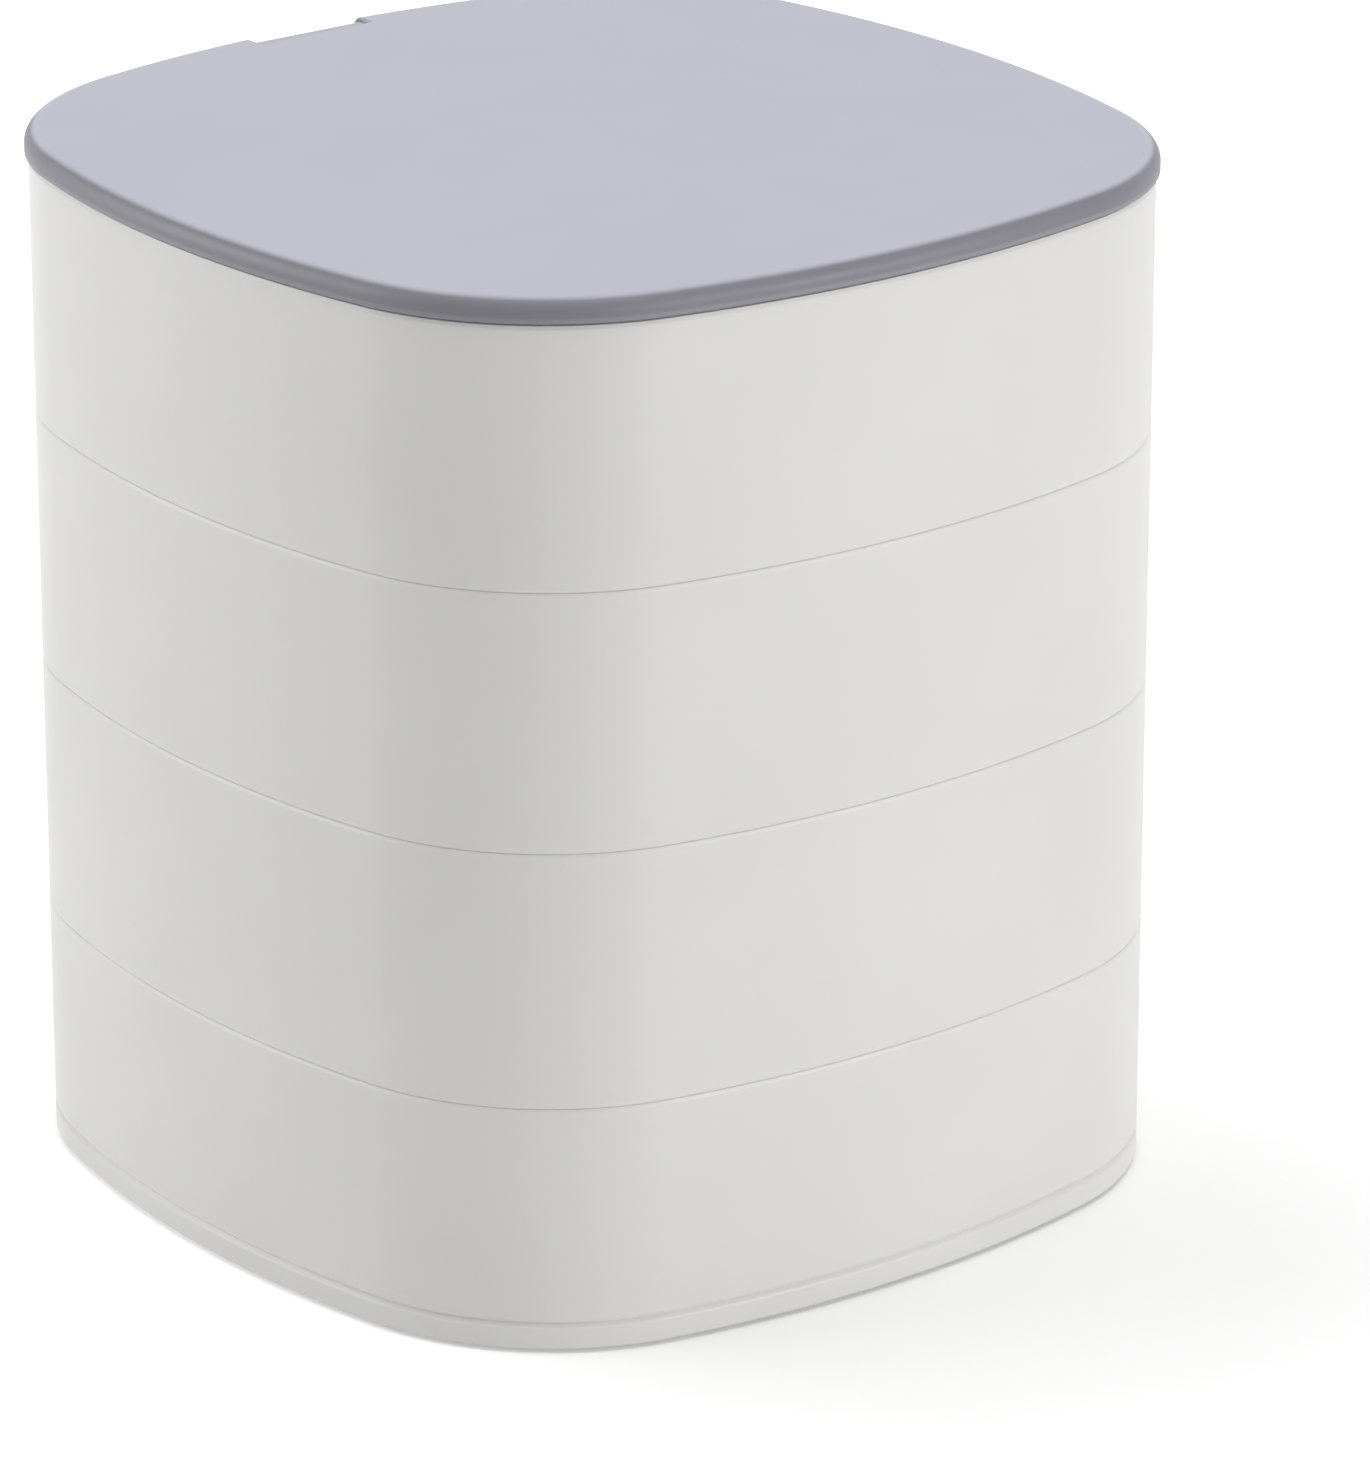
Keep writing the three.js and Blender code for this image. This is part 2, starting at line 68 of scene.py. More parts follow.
# Moulded walls
WALL = 1.8 * MM
FLOOR = 1.8 * MM
FLOOR_RADIUS = 2.4 * MM
EDGE_RADIUS = 0.29 * MM
SEAM_SINK = 0.17 * MM
SEAM_RISE = 0.38 * MM
GROOVE_SINK = 0.38 * MM
GROOVE_RISE = 0.46 * MM
SLOPE_RADIUS = 0.5 * MM
CREST_RADIUS = 0.07 * MM
RIM_RADIUS = 0.55 * MM
SEAM_LIP = 0.27 * MM
SEAM_LIP_WIDTH = 2 * MM

# Dividers between the compartments
DIVIDER = 1.4 * MM
DIVIDER_DROP = 3 * MM
DIVIDER_EDGE = 0.4 * MM
DIVIDER_EDGE_ANGLE = 50
ON_OUTLINE = 0.05 * MM
CELL_RADIUS = 3 * MM
CELL_STEPS = 8
CELL_FOOT_RADIUS = 1 * MM

# Room between pieces, and how far tools reach into, over or beside what they cut or join
FLAT_MARGIN = 12 * MM
OVERRUN = 2 * MM
FIT_GAP = 0.3 * MM
BURIED = 0.6 * MM
PROUD = 0.02 * MM

# Corner shaft and screws
POST_RADIUS = 6.5 * MM
POST_DROP = 0.1 * MM
SHAFT_HOLE = 3.3 * MM
WASHER_SEAT = 5.3 * MM
WASHER_DEPTH = 0.5 * MM
WASHER_EDGE = 0.12 * MM
CAP_WELL_RADIUS = 4.5 * MM
CAP_WELL_DEPTH = 4.6 * MM
CAP_FLANGE = 1.1 * MM
CAP_EDGE = 0.45 * MM
SCREW_HOLE = 1.5 * MM
SHAFT_SCREW_HOLE = 1.9 * MM
SCREW_BOSS_RADIUS = 3.4 * MM
SCREW_BOSS_HEIGHT = 8.3 * MM
SCREW_SEAT_RADIUS = 3.1 * MM
SHAFT_SEAT_RADIUS = 3.6 * MM
SCREW_SEAT_DEPTH = 1.5 * MM
SCREW_SHANK = 1.2 * MM
SCREW_HEAD_HEIGHT = 1.3 * MM
SCREW_PITCH = 0.9 * MM
SCREW_EDGE = 0.15 * MM
SHAFT_SCREW_SHANK = 1.6 * MM
SHAFT_SCREW_PITCH = 0.7 * MM
UPPER_HEAD_HEIGHT = 1.8 * MM
THREAD_PROUD = 0.2 * MM
THREAD_ROOT_SHARE = 0.85
THREAD_STEPS = 32
PAN_ROUND_SHARE = 0.7
RECESS_LENGTH_SHARE = 0.62
RECESS_BREADTH_SHARE = 0.16
RECESS_DEPTH_SHARE = 0.7
RECESS_TAPER_SHARE = 0.55
SHAFT_BORE = 1.9 * MM
SHAFT_BORE_DEPTH = 11 * MM
SHAFT_EDGE = 0.3 * MM
PIN_EDGE = 0.15 * MM

# Base cover and feet
BASE_PLATE = 1.6 * MM
BASE_RIM = 3 * MM
FOOT_SEAT_RADIUS = 4.8 * MM
FOOT_SEAT_DEPTH = 0.8 * MM
FOOT_EDGE = 0.45 * MM
FOOT_DISH_INSET = 1.1 * MM
FOOT_DISH_DEPTH = 0.25 * MM
FACES_DOWN = -0.99

# Lid, mirror and hinge
LID_OVERHANG = 0.4 * MM
LID_EDGE_RADIUS = 1.6 * MM
LID_UNDER_RADIUS = 0.25 * MM
# How far below the lid's top its side turns to painted shade, and how high above its underside the
# painted highlight along the foot reaches
LID_PAINTED_SHADE_DEPTH = 0.4 * MM
LID_PAINTED_HIGHLIGHT_TOP = 0.75 * MM
LIES_FLAT = 0.999
LIP_GAP = 0.4 * MM
LIP_THICKNESS = 1.2 * MM
LIP_DEPTH = 1.1 * MM
LIP_EDGE = 0.2 * MM
MIRROR_INSET = 5.6 * MM
MIRROR_BEVEL = 1.6 * MM
MIRROR_BEVEL_DROP = 0.4 * MM
MIRROR_POCKET = 1.1 * MM
NOTCH_WIDTH = 15 * MM
NOTCH_TOOL_DROP = 4 * MM
KNUCKLE_RADIUS = 1.5 * MM
KNUCKLE_STEPS = 16
BARREL_RADIUS = 1.9 * MM
HINGE_INSET = 0.25 * MM
KNUCKLE_DROP = 0.4 * MM
PIN_HOLE = 1 * MM
PIN_REACH = 5 * MM
SNAP_SLOT = 1.1 * MM
FLANGE_THICKNESS = 1.3 * MM
FLANGE_REACH = 3 * MM
BLOCK_EDGE = 0.15 * MM
BLOCK_EDGE_ANGLE = 40

# Ring cushion: its rolls and core, with shares of a roll's radius, and its cover
ROLL_COUNT = 7
ROLL_SIDES = 48
CUSHION_GAP = 0.5 * MM
ROLL_SHARE = 0.985
HELD_SHARE = 1.05
CORE_SIDE_SHARE = 0.2
CORE_TOP_SHARE = 1.2
CORE_LIFT = 0.1 * MM
ROLL_OVERRUN = 10 * MM
COVER_GRID = 1.1 * MM
COVER_SMOOTHING = 0.5
COVER_FRAMES = 18
COVER_MOVE = 0.35 * MM
COVER_SLACK_SHARE = 0.05
COVER_PRESSURE = 4
COVER_QUALITY = 4
COVER_MASS = 0.2
COVER_STIFFNESS = 12
COVER_BENDING = 0.4

# Compartments as shares of the half width, from left to right and front to back
BOTTOM_CELLS = [(-1, 1, -1, 0.12), (-1, -0.1, 0.12, 1), (-0.1, 1, 0.12, 1)]
LOWER_CELLS = [(-1, 0.02, -1, 1), (0.02, 1, -1, 0), (0.02, 1, 0, 1)]
UPPER_CELLS = [(-1, 0, -1, -0.02), (0, 1, -1, -0.02), (-1, 0, -0.02, 1), (0, 1, -0.02, 1)]
TOP_CELLS = [(-1, 0.24, -1, 1), (0.24, 1, -1, -0.06), (0.24, 1, -0.06, 1)]

# Lamps: azimuth from the front to the right, elevation, width, height and power
LAMPS = {
    "key_right": (18, 10, 0.7, 0.4, 3.65),
    "side_left": (-130, 18, 0.7, 0.6, 3.85),
    "top": (0, 85, 0.8, 0.8, 4.5),
    "back_right": (115, 18, 0.7, 0.6, 1.5),
}
NOT_IN_GLOSS = "back_right"
LAMP_DISTANCE = 0.9

# Light of the surroundings, and the faint shadow in front of the box on the floor, a painted shadow
# place where the floor's glow is weaker; the glow is stronger far out
AMBIENT = 0.1
FLOOR_SIZE = 6
FLOOR_TONE = 0.92
SHADOW_PLACE = (4 * MM, -60 * MM, 0)
SHADOW_CORE = 22 * MM
SHADOW_REACH = 85 * MM
SHADOW_GLOW = 0.2
OPEN_GLOW = 0.42
FAR_FROM = 0.2
FAR_TO = 0.9
FAR_GLOW = 0.45

# Camera: where it stands, seen from a point on the box's axis, where it looks, and its lens
CAMERA_AZIMUTH = -37.172
CAMERA_ELEVATION = 19.62
CAMERA_DISTANCE = 857.5 * MM
CAMERA_CENTRE_HEIGHT = 56.43 * MM
LOOK_AZIMUTH = -37.873
LOOK_DOWN = 20.284
SENSOR_WIDTH = 36
FOCAL_LENGTH = 197.62
NEAREST_SEEN = 10 * MM

CORNERS = ("front_left", "front_right", "back_left", "back_right")
SCREW_CORNERS = CORNERS[:3]


def middle(node):
    """The middle of the box round a CAD node."""
    low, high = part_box(node)
    return (low + high) / 2


# Places that the frame gives
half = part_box("bottom_tray")[1].x
side_centre = half - SIDE_RADIUS
arc_distance = SIDE_RADIUS - CORNER_RADIUS
corner_centre = (side_centre + math.sqrt(2 * arc_distance ** 2 - side_centre ** 2)) / 2
side_angle = math.atan2(corner_centre, corner_centre - side_centre)
pivot = middle("pivot_shaft").xy
screw_places = [middle(f"base_screw_{corner}").xy for corner in SCREW_CORNERS]
screw_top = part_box("base_screw_front_left")[1].z
block_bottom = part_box("hinge_block")[0].z
lid_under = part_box("top_tray")[1].z + FIT_GAP
lid_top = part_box("lid")[1].z
hinge_y = half - HINGE_INSET - KNUCKLE_RADIUS
hinge_z = lid_top - KNUCKLE_DROP - KNUCKLE_RADIUS

# Room for the back rim of the lid, which turns about the hinge
rim_behind = half + LID_OVERHANG - hinge_y
rim_above = lid_top - hinge_z
rim_round = math.hypot(rim_behind - LID_EDGE_RADIUS, rim_above - LID_EDGE_RADIUS) + LID_EDGE_RADIUS
relief_radius = max(rim_round, math.hypot(rim_behind, hinge_z - lid_under), BARREL_RADIUS) + FIT_GAP
relief_reach = math.sqrt((SIDE_RADIUS + LID_OVERHANG) ** 2 - (hinge_y - side_centre) ** 2)


# Modelling by hand: a primitive is started, shaped in edit mode and finished by modifiers

def begin(name, add, **settings):
    """Adds a primitive and names it."""
    bpy.ops.object.select_all(action="DESELECT")
    add(**settings)
    piece = bpy.context.object
    piece.name = piece.data.name = name
    return piece


def apply_place():
    bpy.ops.object.transform_apply(location=True, rotation=True, scale=True)


def take_up(piece):
    """Makes the piece the only one that is selected, and the active one."""
    bpy.ops.object.select_all(action="DESELECT")
    bpy.context.view_layer.objects.active = piece
    piece.select_set(True)


def open_up(piece):
    take_up(piece)
    bpy.ops.object.mode_set(mode="EDIT")
    bpy.ops.mesh.select_mode(type="VERT")
    bpy.ops.mesh.select_all(action="DESELECT")


def close_up():
    bpy.ops.object.mode_set(mode="OBJECT")


def pick(piece, kind, wanted):
    """Selects only the faces, edges or vertices of the opened piece that are wanted."""
    bpy.ops.mesh.select_mode(type=kind)
    bpy.ops.mesh.select_all(action="DESELECT")
    shape = bmesh.from_edit_mesh(piece.data)
    for part in {"VERT": shape.verts, "EDGE": shape.edges, "FACE": shape.faces}[kind]:
        part.select = wanted(part)
    shape.select_flush_mode()
    bmesh.update_edit_mesh(piece.data)


def near(a, b):
    return abs(a - b) < SAME_PLACE


def lies_at(edge, level):
    return all(near(v.co.z, level) for v in edge.verts)


def lies_below(edge, level):
    return all(v.co.z < level for v in edge.verts)


def lies_above(edge, level):
    return all(v.co.z > level for v in edge.verts)


def is_upright(edge):
    start, end = (v.co for v in edge.verts)
    return near(start.x, end.x) and near(start.y, end.y)


def merge_doubles():
    bpy.ops.mesh.select_all(action="SELECT")
    bpy.ops.mesh.remove_doubles(threshold=MERGE_DISTANCE)


def turn_outwards():
    bpy.ops.mesh.select_all(action="SELECT")
    bpy.ops.mesh.normals_make_consistent(inside=False)


def draw_line(name, points):
    """A line through the points, begun as a small plane that is merged to one corner."""
    piece = begin(name, bpy.ops.mesh.primitive_plane_add, size=MM, location=(0, 0, 0))
    open_up(piece)
    bpy.ops.mesh.select_all(action="SELECT")
    bpy.ops.mesh.merge(type="CENTER")
    bpy.ops.transform.translate(value=points[0])
    for start, end in zip(points, points[1:]):
        bpy.ops.mesh.extrude_region_move(TRANSFORM_OT_translate={"value": end - start})
    return piece


def rounded(corners):
    """The points of a line whose corners, given as (across, up, radius), are rounded."""
    points = []
    for i, (across, up, radius) in enumerate(corners):
        corner = Vector((across, up))
        if not radius:
            points.append(corner)
            continue
        back = (Vector(corners[i - 1][:2]) - corner).normalized()
        ahead = (Vector(corners[i + 1][:2]) - corner).normalized()
        opening = back.angle(ahead)
        centre = corner + (back + ahead).normalized() * radius / math.sin(opening / 2)
        start = back / math.tan(opening / 2) + (corner - centre) / radius
        turn = math.copysign(math.pi - opening, back.x * ahead.y - back.y * ahead.x)
        steps = ROUND_STEPS if radius < FINER_FROM_RADIUS else 2 * ROUND_STEPS
        for step in range(steps + 1):
            spoke = start.copy()
            spoke.rotate(Matrix.Rotation(-turn * step / steps, 2))
            points.append(centre + spoke * radius)
    return points


def run_round(name, corners):
    """A body whose section, of insets and heights, runs along the plan of the box."""
    points = []
    for inset, height in rounded(corners):
        reach = SIDE_RADIUS - inset
        x = side_centre + reach * math.cos(side_angle)
        points.append(Vector((x, -reach * math.sin(side_angle), height)))
    piece = draw_line(name, points)
    bpy.ops.mesh.select_all(action="SELECT")
    for quarter in range(4):
        turn = Euler((0, 0, quarter * math.pi / 2))
        for centre, angle, steps in (
            (Vector((side_centre, 0, 0)), 2 * side_angle, SIDE_STEPS),
            (Vector((corner_centre, corner_centre, 0)), math.pi / 2 - 2 * side_angle, CORNER_STEPS),
        ):
            centre.rotate(turn)
            bpy.ops.mesh.spin(steps=steps, angle=-angle, center=centre, axis=(0, 0, 1))
    merge_doubles()
    for level in (points[0].z, points[-1].z):
        pick(piece, "EDGE", lambda edge: edge.is_boundary and lies_at(edge, level))
        bpy.ops.mesh.edge_face_add()
    turn_outwards()
    close_up()
    return piece


def prism(name, inset, bottom, top):
    """A plain body with the plan of the box, for cutting and joining."""
    margin = FLAT_MARGIN + inset
    return run_round(name, [
        (margin, bottom, 0), (inset, bottom, 0), (inset, top, 0), (margin, top, 0),
    ])


def cylinder(name, radius, place, bottom, top, sides=ROUND_SIDES, edge=0, steps=4):
    """An upright cylinder whose top edge may be rounded."""
    piece = begin(
        name, bpy.ops.mesh.primitive_cylinder_add, vertices=sides, radius=radius,
        depth=top - bottom, location=(*place, (bottom + top) / 2),
    )
    apply_place()
    if edge:
        open_up(piece)
        pick(piece, "EDGE", lambda e: lies_at(e, top))
        bpy.ops.mesh.bevel(offset=edge, segments=steps, affect="EDGES")
        close_up()
    return piece


def rod(name, radius, y, z, reach, sides=ROUND_SIDES):
    """A rod along X."""
    piece = begin(
        name, bpy.ops.mesh.primitive_cylinder_add, vertices=sides, radius=radius,
        depth=2 * reach, location=(0, y, z), rotation=(0, math.pi / 2, 0),
    )
    apply_place()
    return piece


def turned(name, corners, place):
    """A round body: a profile of radii, heights and corner radii, turned about an upright axis."""
    points = [Vector((place.x + radius, place.y, height)) for radius, height in rounded(corners)]
    piece = draw_line(name, points)
    bpy.ops.mesh.select_all(action="SELECT")
    bpy.ops.mesh.spin(steps=ROUND_SIDES, angle=-2 * math.pi, center=(*place, 0), axis=(0, 0, 1))
    merge_doubles()
    turn_outwards()
    close_up()
    return piece


def block(name, low, high):
    """A plain block between two corners, for cutting and joining."""
    low, high = Vector(low), Vector(high)
    piece = begin(
        name, bpy.ops.mesh.primitive_cube_add, size=1,
        location=(low + high) / 2, scale=high - low,
    )
    apply_place()
    return piece


def finish_modifier(piece, kind, **settings):
    take_up(piece)
    modifier = piece.modifiers.new(kind.lower(), kind)
    for key, value in settings.items():
        setattr(modifier, key, value)
    bpy.ops.object.modifier_apply(modifier=modifier.name)


def combine(piece, tool, operation):
    """Cuts or joins the piece with a tool, which is used up."""
    finish_modifier(piece, "BOOLEAN", object=tool, operation=operation, solver="MANIFOLD")
    bpy.data.objects.remove(tool)
    return piece


def cut(piece, tool):
    return combine(piece, tool, "DIFFERENCE")


def weld(piece, tool):
    return combine(piece, tool, "UNION")


def keep_inside(piece, tool):
    return combine(piece, tool, "INTERSECT")


def smooth(piece, angle=SMOOTH_ANGLE):
    """Merges what booleans leave doubled, and shades all but the sharp edges smooth."""
    open_up(piece)
    merge_doubles()
    close_up()
    bpy.ops.object.shade_smooth_by_angle(angle=math.radians(angle))
    finish_modifier(piece, "WEIGHTED_NORMAL", keep_sharp=True, weight=NORMAL_WEIGHT)
    return piece


# Pieces

def cell_cutter(shares, bottom, top):
    """The space of one compartment, with round upright corners and a round foot."""
    edges = []
    for share, way in zip(shares, (1, -1, 1, -1)):
        edges.append(share * half + (way * DIVIDER / 2 if abs(share) < 1 else -way * CELL_RADIUS))
    left, right, front, back = edges
    piece = block("cell", (left, front, bottom), (right, back, top))
    open_up(piece)
    pick(piece, "EDGE", is_upright)
    bpy.ops.mesh.bevel(offset=CELL_RADIUS, segments=CELL_STEPS, affect="EDGES")
    pick(piece, "EDGE", lambda e: lies_at(e, bottom))
    bpy.ops.mesh.bevel(offset=CELL_FOOT_RADIUS, segments=4, affect="EDGES")
    turn_outwards()
    close_up()
    return piece


def dividers(cells, bottom, top):
    """The dividers of a tray with rounded upper edges, let into its wall and floor."""
    outline = WALL - BURIED
    piece = prism("dividers", outline, bottom - BURIED, top)
    for shares in cells:
        cut(piece, cell_cutter(shares, bottom + PROUD, top + OVERRUN))

    def on_outline(edge):
        return all(abs(plan_inset(v.co) - outline) < ON_OUTLINE for v in edge.verts)

    def along_divider(edge):
        if not lies_at(edge, top) or len(edge.link_faces) != 2 or on_outline(edge):
            return False
        return edge.calc_face_angle(0) > math.radians(DIVIDER_EDGE_ANGLE)

    open_up(piece)
    pick(piece, "EDGE", along_divider)
    bpy.ops.mesh.bevel(offset=DIVIDER_EDGE, segments=3, affect="EDGES")
    close_up()
    return piece


def plan_inset(point):
    """How far inside the box's outline a point lies."""
    x, y = abs(point.x), abs(point.y)
    if x < y:
        x, y = y, x
    if math.atan2(y, x - side_centre) <= side_angle:
        return SIDE_RADIUS - math.hypot(x - side_centre, y)
    return CORNER_RADIUS - math.hypot(x - corner_centre, y - corner_centre)


def sloped_edge(level, way, sink, rise):
    """The corners of an outer edge that slopes in a little, from the edge to the wall."""
    return [(sink, level, CREST_RADIUS), (0, level + way * rise, SLOPE_RADIUS)]


def tray(node, cells, posts=(), seam_lip=SEAM_LIP):
    """A tray's shell with its dividers, before what is cut from it."""
    low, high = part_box(node)
    bottom, top = low.z, high.z
    under = [(FLAT_MARGIN, bottom, 0)]
    if seam_lip:
        under += [(SEAM_LIP_WIDTH + seam_lip, bottom, 0), (SEAM_LIP_WIDTH, bottom - seam_lip, 0)]
    lower_edge = (SEAM_SINK, SEAM_RISE) if seam_lip else (GROOVE_SINK, GROOVE_RISE)
    piece = run_round(node + "_shell", [
        *under,
        *sloped_edge(bottom - seam_lip, 1, *lower_edge),
        *reversed(sloped_edge(top, -1, SEAM_SINK, SEAM_RISE)),
        (WALL, top, RIM_RADIUS),
        (WALL, bottom + FLOOR, FLOOR_RADIUS),
        (FLAT_MARGIN, bottom + FLOOR, 0),
    ])
    weld(piece, dividers(cells, bottom + FLOOR, top - DIVIDER_DROP))
    for radius, place, height in posts:
        post_bottom = bottom + BURIED
        weld(piece, cylinder("post", radius, place, post_bottom, bottom + height, edge=RIM_RADIUS))
    return piece


def cut_for_shaft(piece, low, high):
    """Cuts the bore of a tray's post, and the seat of the washer on it."""
    cut(piece, cylinder("bore", SHAFT_HOLE, pivot, low.z - OVERRUN, high.z + OVERRUN))
    cut(piece, cylinder("seat", WASHER_SEAT, pivot, high.z - WASHER_DEPTH, high.z + OVERRUN))


def swing_tray(node, cells):
    """One of the two middle trays, which turn about the shaft."""
    low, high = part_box(node)
    piece = tray(node, cells, [(POST_RADIUS, pivot, high.z - low.z - POST_DROP)])
    cut_for_shaft(piece, low, high)
    return smooth(piece)


def bottom_tray():
    """The tray that is screwed to the base cover, with a boss for each screw."""
    low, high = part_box("bottom_tray")
    posts = [(POST_RADIUS, pivot, high.z - low.z - POST_DROP)]
    posts += [(SCREW_BOSS_RADIUS, place, SCREW_BOSS_HEIGHT) for place in screw_places]
    piece = tray("bottom_tray", BOTTOM_CELLS, posts, seam_lip=0)
    cut_for_shaft(piece, low, high)
    for place in screw_places:
        bore_top = screw_top + FIT_GAP
        cut(piece, cylinder("bore", SCREW_HOLE, place, low.z - OVERRUN, bore_top, sides=BORE_SIDES))
    return smooth(piece)


def top_tray():
    """The tray under the lid, with a well for the upper screw and room for the hinge."""
    low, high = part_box("top_tray")
    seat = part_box("pivot_cap")[1].z - CAP_FLANGE
    piece = tray("top_tray", TOP_CELLS, [(POST_RADIUS, pivot, seat - low.z)])
    cut(piece, cylinder("bore", SHAFT_HOLE, pivot, low.z - OVERRUN, seat + OVERRUN))
    cut(piece, cylinder("well", CAP_WELL_RADIUS, pivot, seat - CAP_WELL_DEPTH, seat + OVERRUN))
    cut(piece, rod("relief", relief_radius, hinge_y, hinge_z, relief_reach))
    cut(piece, flange_block(FIT_GAP))
    cut(piece, block(
        "block_seat", (-NOTCH_WIDTH / 2, half - 2 * WALL, block_bottom - FIT_GAP),
        (NOTCH_WIDTH / 2, half + OVERRUN, high.z + OVERRUN),
    ))
    return smooth(piece)


def flange_block(room):
    """The flange of the hinge block inside the back wall, with room round it."""
    reach = NOTCH_WIDTH / 2 + FLANGE_REACH
    sag = SIDE_RADIUS - math.sqrt(SIDE_RADIUS ** 2 - reach ** 2)
    back = half - WALL - sag - FIT_GAP
    return block(
        "flange",
        (-reach - room, back - FLANGE_THICKNESS - room, block_bottom - room),
        (reach + room, back, hinge_z - relief_radius + room),
    )


def hinge_block():
    """The block in the lid's notch, with a round knuckle for the pin."""
    reach = NOTCH_WIDTH / 2 - FIT_GAP
    side = [(half, block_bottom), (half, hinge_z), (hinge_y + KNUCKLE_RADIUS, hinge_z)]
    for step in range(1, KNUCKLE_STEPS + 1):
        angle = math.pi * step / KNUCKLE_STEPS
        across, up = KNUCKLE_RADIUS * math.cos(angle), KNUCKLE_RADIUS * math.sin(angle)
        side.append((hinge_y + across, hinge_z + up))
    side.append((hinge_y - KNUCKLE_RADIUS, block_bottom))
    piece = draw_line("hinge_block_body", [Vector((-reach, y, z)) for y, z in side])
    bpy.ops.mesh.select_all(action="SELECT")
    bpy.ops.mesh.edge_face_add()
    bpy.ops.mesh.extrude_region_move(TRANSFORM_OT_translate={"value": (2 * reach, 0, 0)})
    turn_outwards()
    close_up()
    keep_inside(piece, prism("plan", 0, block_bottom - OVERRUN, lid_top + OVERRUN))
    finish_modifier(
        piece, "BEVEL", width=BLOCK_EDGE, segments=2,
        limit_method="ANGLE", angle_limit=math.radians(BLOCK_EDGE_ANGLE),
    )
    weld(piece, flange_block(0))
    cut(piece, rod("bore", PIN_HOLE, hinge_y, hinge_z, NOTCH_WIDTH, sides=BORE_SIDES))
    return smooth(piece)


def lid():
    """The lid plate with its lip, the pocket of its mirror, its two barrels and the notch."""
    lip_outer = WALL + LIP_GAP
    lip_inner = lip_outer + LIP_THICKNESS
    lip_under = lid_under - LIP_DEPTH
    pocket = MIRROR_INSET - FIT_GAP
    tool_bottom = lid_under - NOTCH_TOOL_DROP
    piece = run_round("lid_shell", [
        (FLAT_MARGIN, lid_top, 0),
        (-LID_OVERHANG, lid_top, LID_EDGE_RADIUS),
        (-LID_OVERHANG, lid_under, LID_UNDER_RADIUS),
        (lip_outer, lid_under, 0),
        (lip_outer, lip_under, LIP_EDGE),
        (lip_inner, lip_under, LIP_EDGE),
        (lip_inner, lid_under, 0),
        (pocket, lid_under, 0),
        (pocket, lid_under + MIRROR_POCKET, 0),
        (FLAT_MARGIN, lid_under + MIRROR_POCKET, 0),
    ])
    cut(piece, block(
        "lip_break", (-relief_reach, 0, lip_under - OVERRUN),
        (relief_reach, half - WALL, lid_under + PROUD),
    ))
    barrels = rod("barrels", BARREL_RADIUS, hinge_y, hinge_z, relief_reach - FIT_GAP)
    keep_inside(barrels, prism("plan", -LID_OVERHANG, tool_bottom, lid_top - LID_EDGE_RADIUS))
    weld(piece, barrels)
    cut(piece, block(
        "notch", (-NOTCH_WIDTH / 2, hinge_y - KNUCKLE_RADIUS - FIT_GAP, tool_bottom),
        (NOTCH_WIDTH / 2, half + OVERRUN, lid_top + OVERRUN),
    ))
    bore_reach = NOTCH_WIDTH / 2 + PIN_REACH
    cut(piece, rod("bore", PIN_HOLE, hinge_y, hinge_z, bore_reach, sides=BORE_SIDES))
    cut(piece, block(
        "snap_slot", (-bore_reach, hinge_y - SNAP_SLOT / 2, tool_bottom),
        (bore_reach, hinge_y + SNAP_SLOT / 2, hinge_z),
    ))
    return smooth(piece)


def mirror():
    """A mirror plate with a ground bevel round its face."""
    low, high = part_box("lid_mirror")
    return smooth(run_round("mirror_plate", [
        (FLAT_MARGIN, high.z, 0),
        (MIRROR_INSET, high.z, 0),
        (MIRROR_INSET, low.z + MIRROR_BEVEL_DROP, 0),
        (MIRROR_INSET + MIRROR_BEVEL, low.z, 0),
        (FLAT_MARGIN, low.z, 0),
    ]), angle=MIRROR_SMOOTH_ANGLE)


def base_cover():
    """The low cover under the bottom tray, with seats for its screws and feet."""
    low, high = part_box("base_cover")
    tool_bottom, tool_top = low.z - OVERRUN, high.z + OVERRUN
    seat_top = low.z + SCREW_SEAT_DEPTH
    boss_radius = SCREW_BOSS_RADIUS + FIT_GAP
    boss_bottom = low.z + BURIED
    piece = run_round("base_shell", [
        (FLAT_MARGIN, low.z, 0),
        (0, low.z, EDGE_RADIUS),
        *reversed(sloped_edge(high.z, -1, GROOVE_SINK, GROOVE_RISE)),
        (BASE_RIM, high.z, 0),
        (BASE_RIM, low.z + BASE_PLATE, 0),
        (FLAT_MARGIN, low.z + BASE_PLATE, 0),
    ])
    for place in screw_places:
        weld(piece, cylinder("boss", boss_radius, place, boss_bottom, high.z, sides=BORE_SIDES))
        cut(piece, cylinder("seat", SCREW_SEAT_RADIUS, place, tool_bottom, seat_top))
        cut(piece, cylinder("bore", SCREW_HOLE, place, tool_bottom, tool_top, sides=BORE_SIDES))
    weld(piece, cylinder("post", POST_RADIUS, pivot, boss_bottom, high.z))
    cut(piece, cylinder("seat", SHAFT_SEAT_RADIUS, pivot, tool_bottom, seat_top))
    cut(piece, cylinder("bore", SHAFT_SCREW_HOLE, pivot, tool_bottom, tool_top, sides=BORE_SIDES))
    for corner in CORNERS:
        place = middle(f"foot_{corner}").xy
        cut(piece, cylinder("seat", FOOT_SEAT_RADIUS, place, tool_bottom, low.z + FOOT_SEAT_DEPTH))
    return smooth(piece)


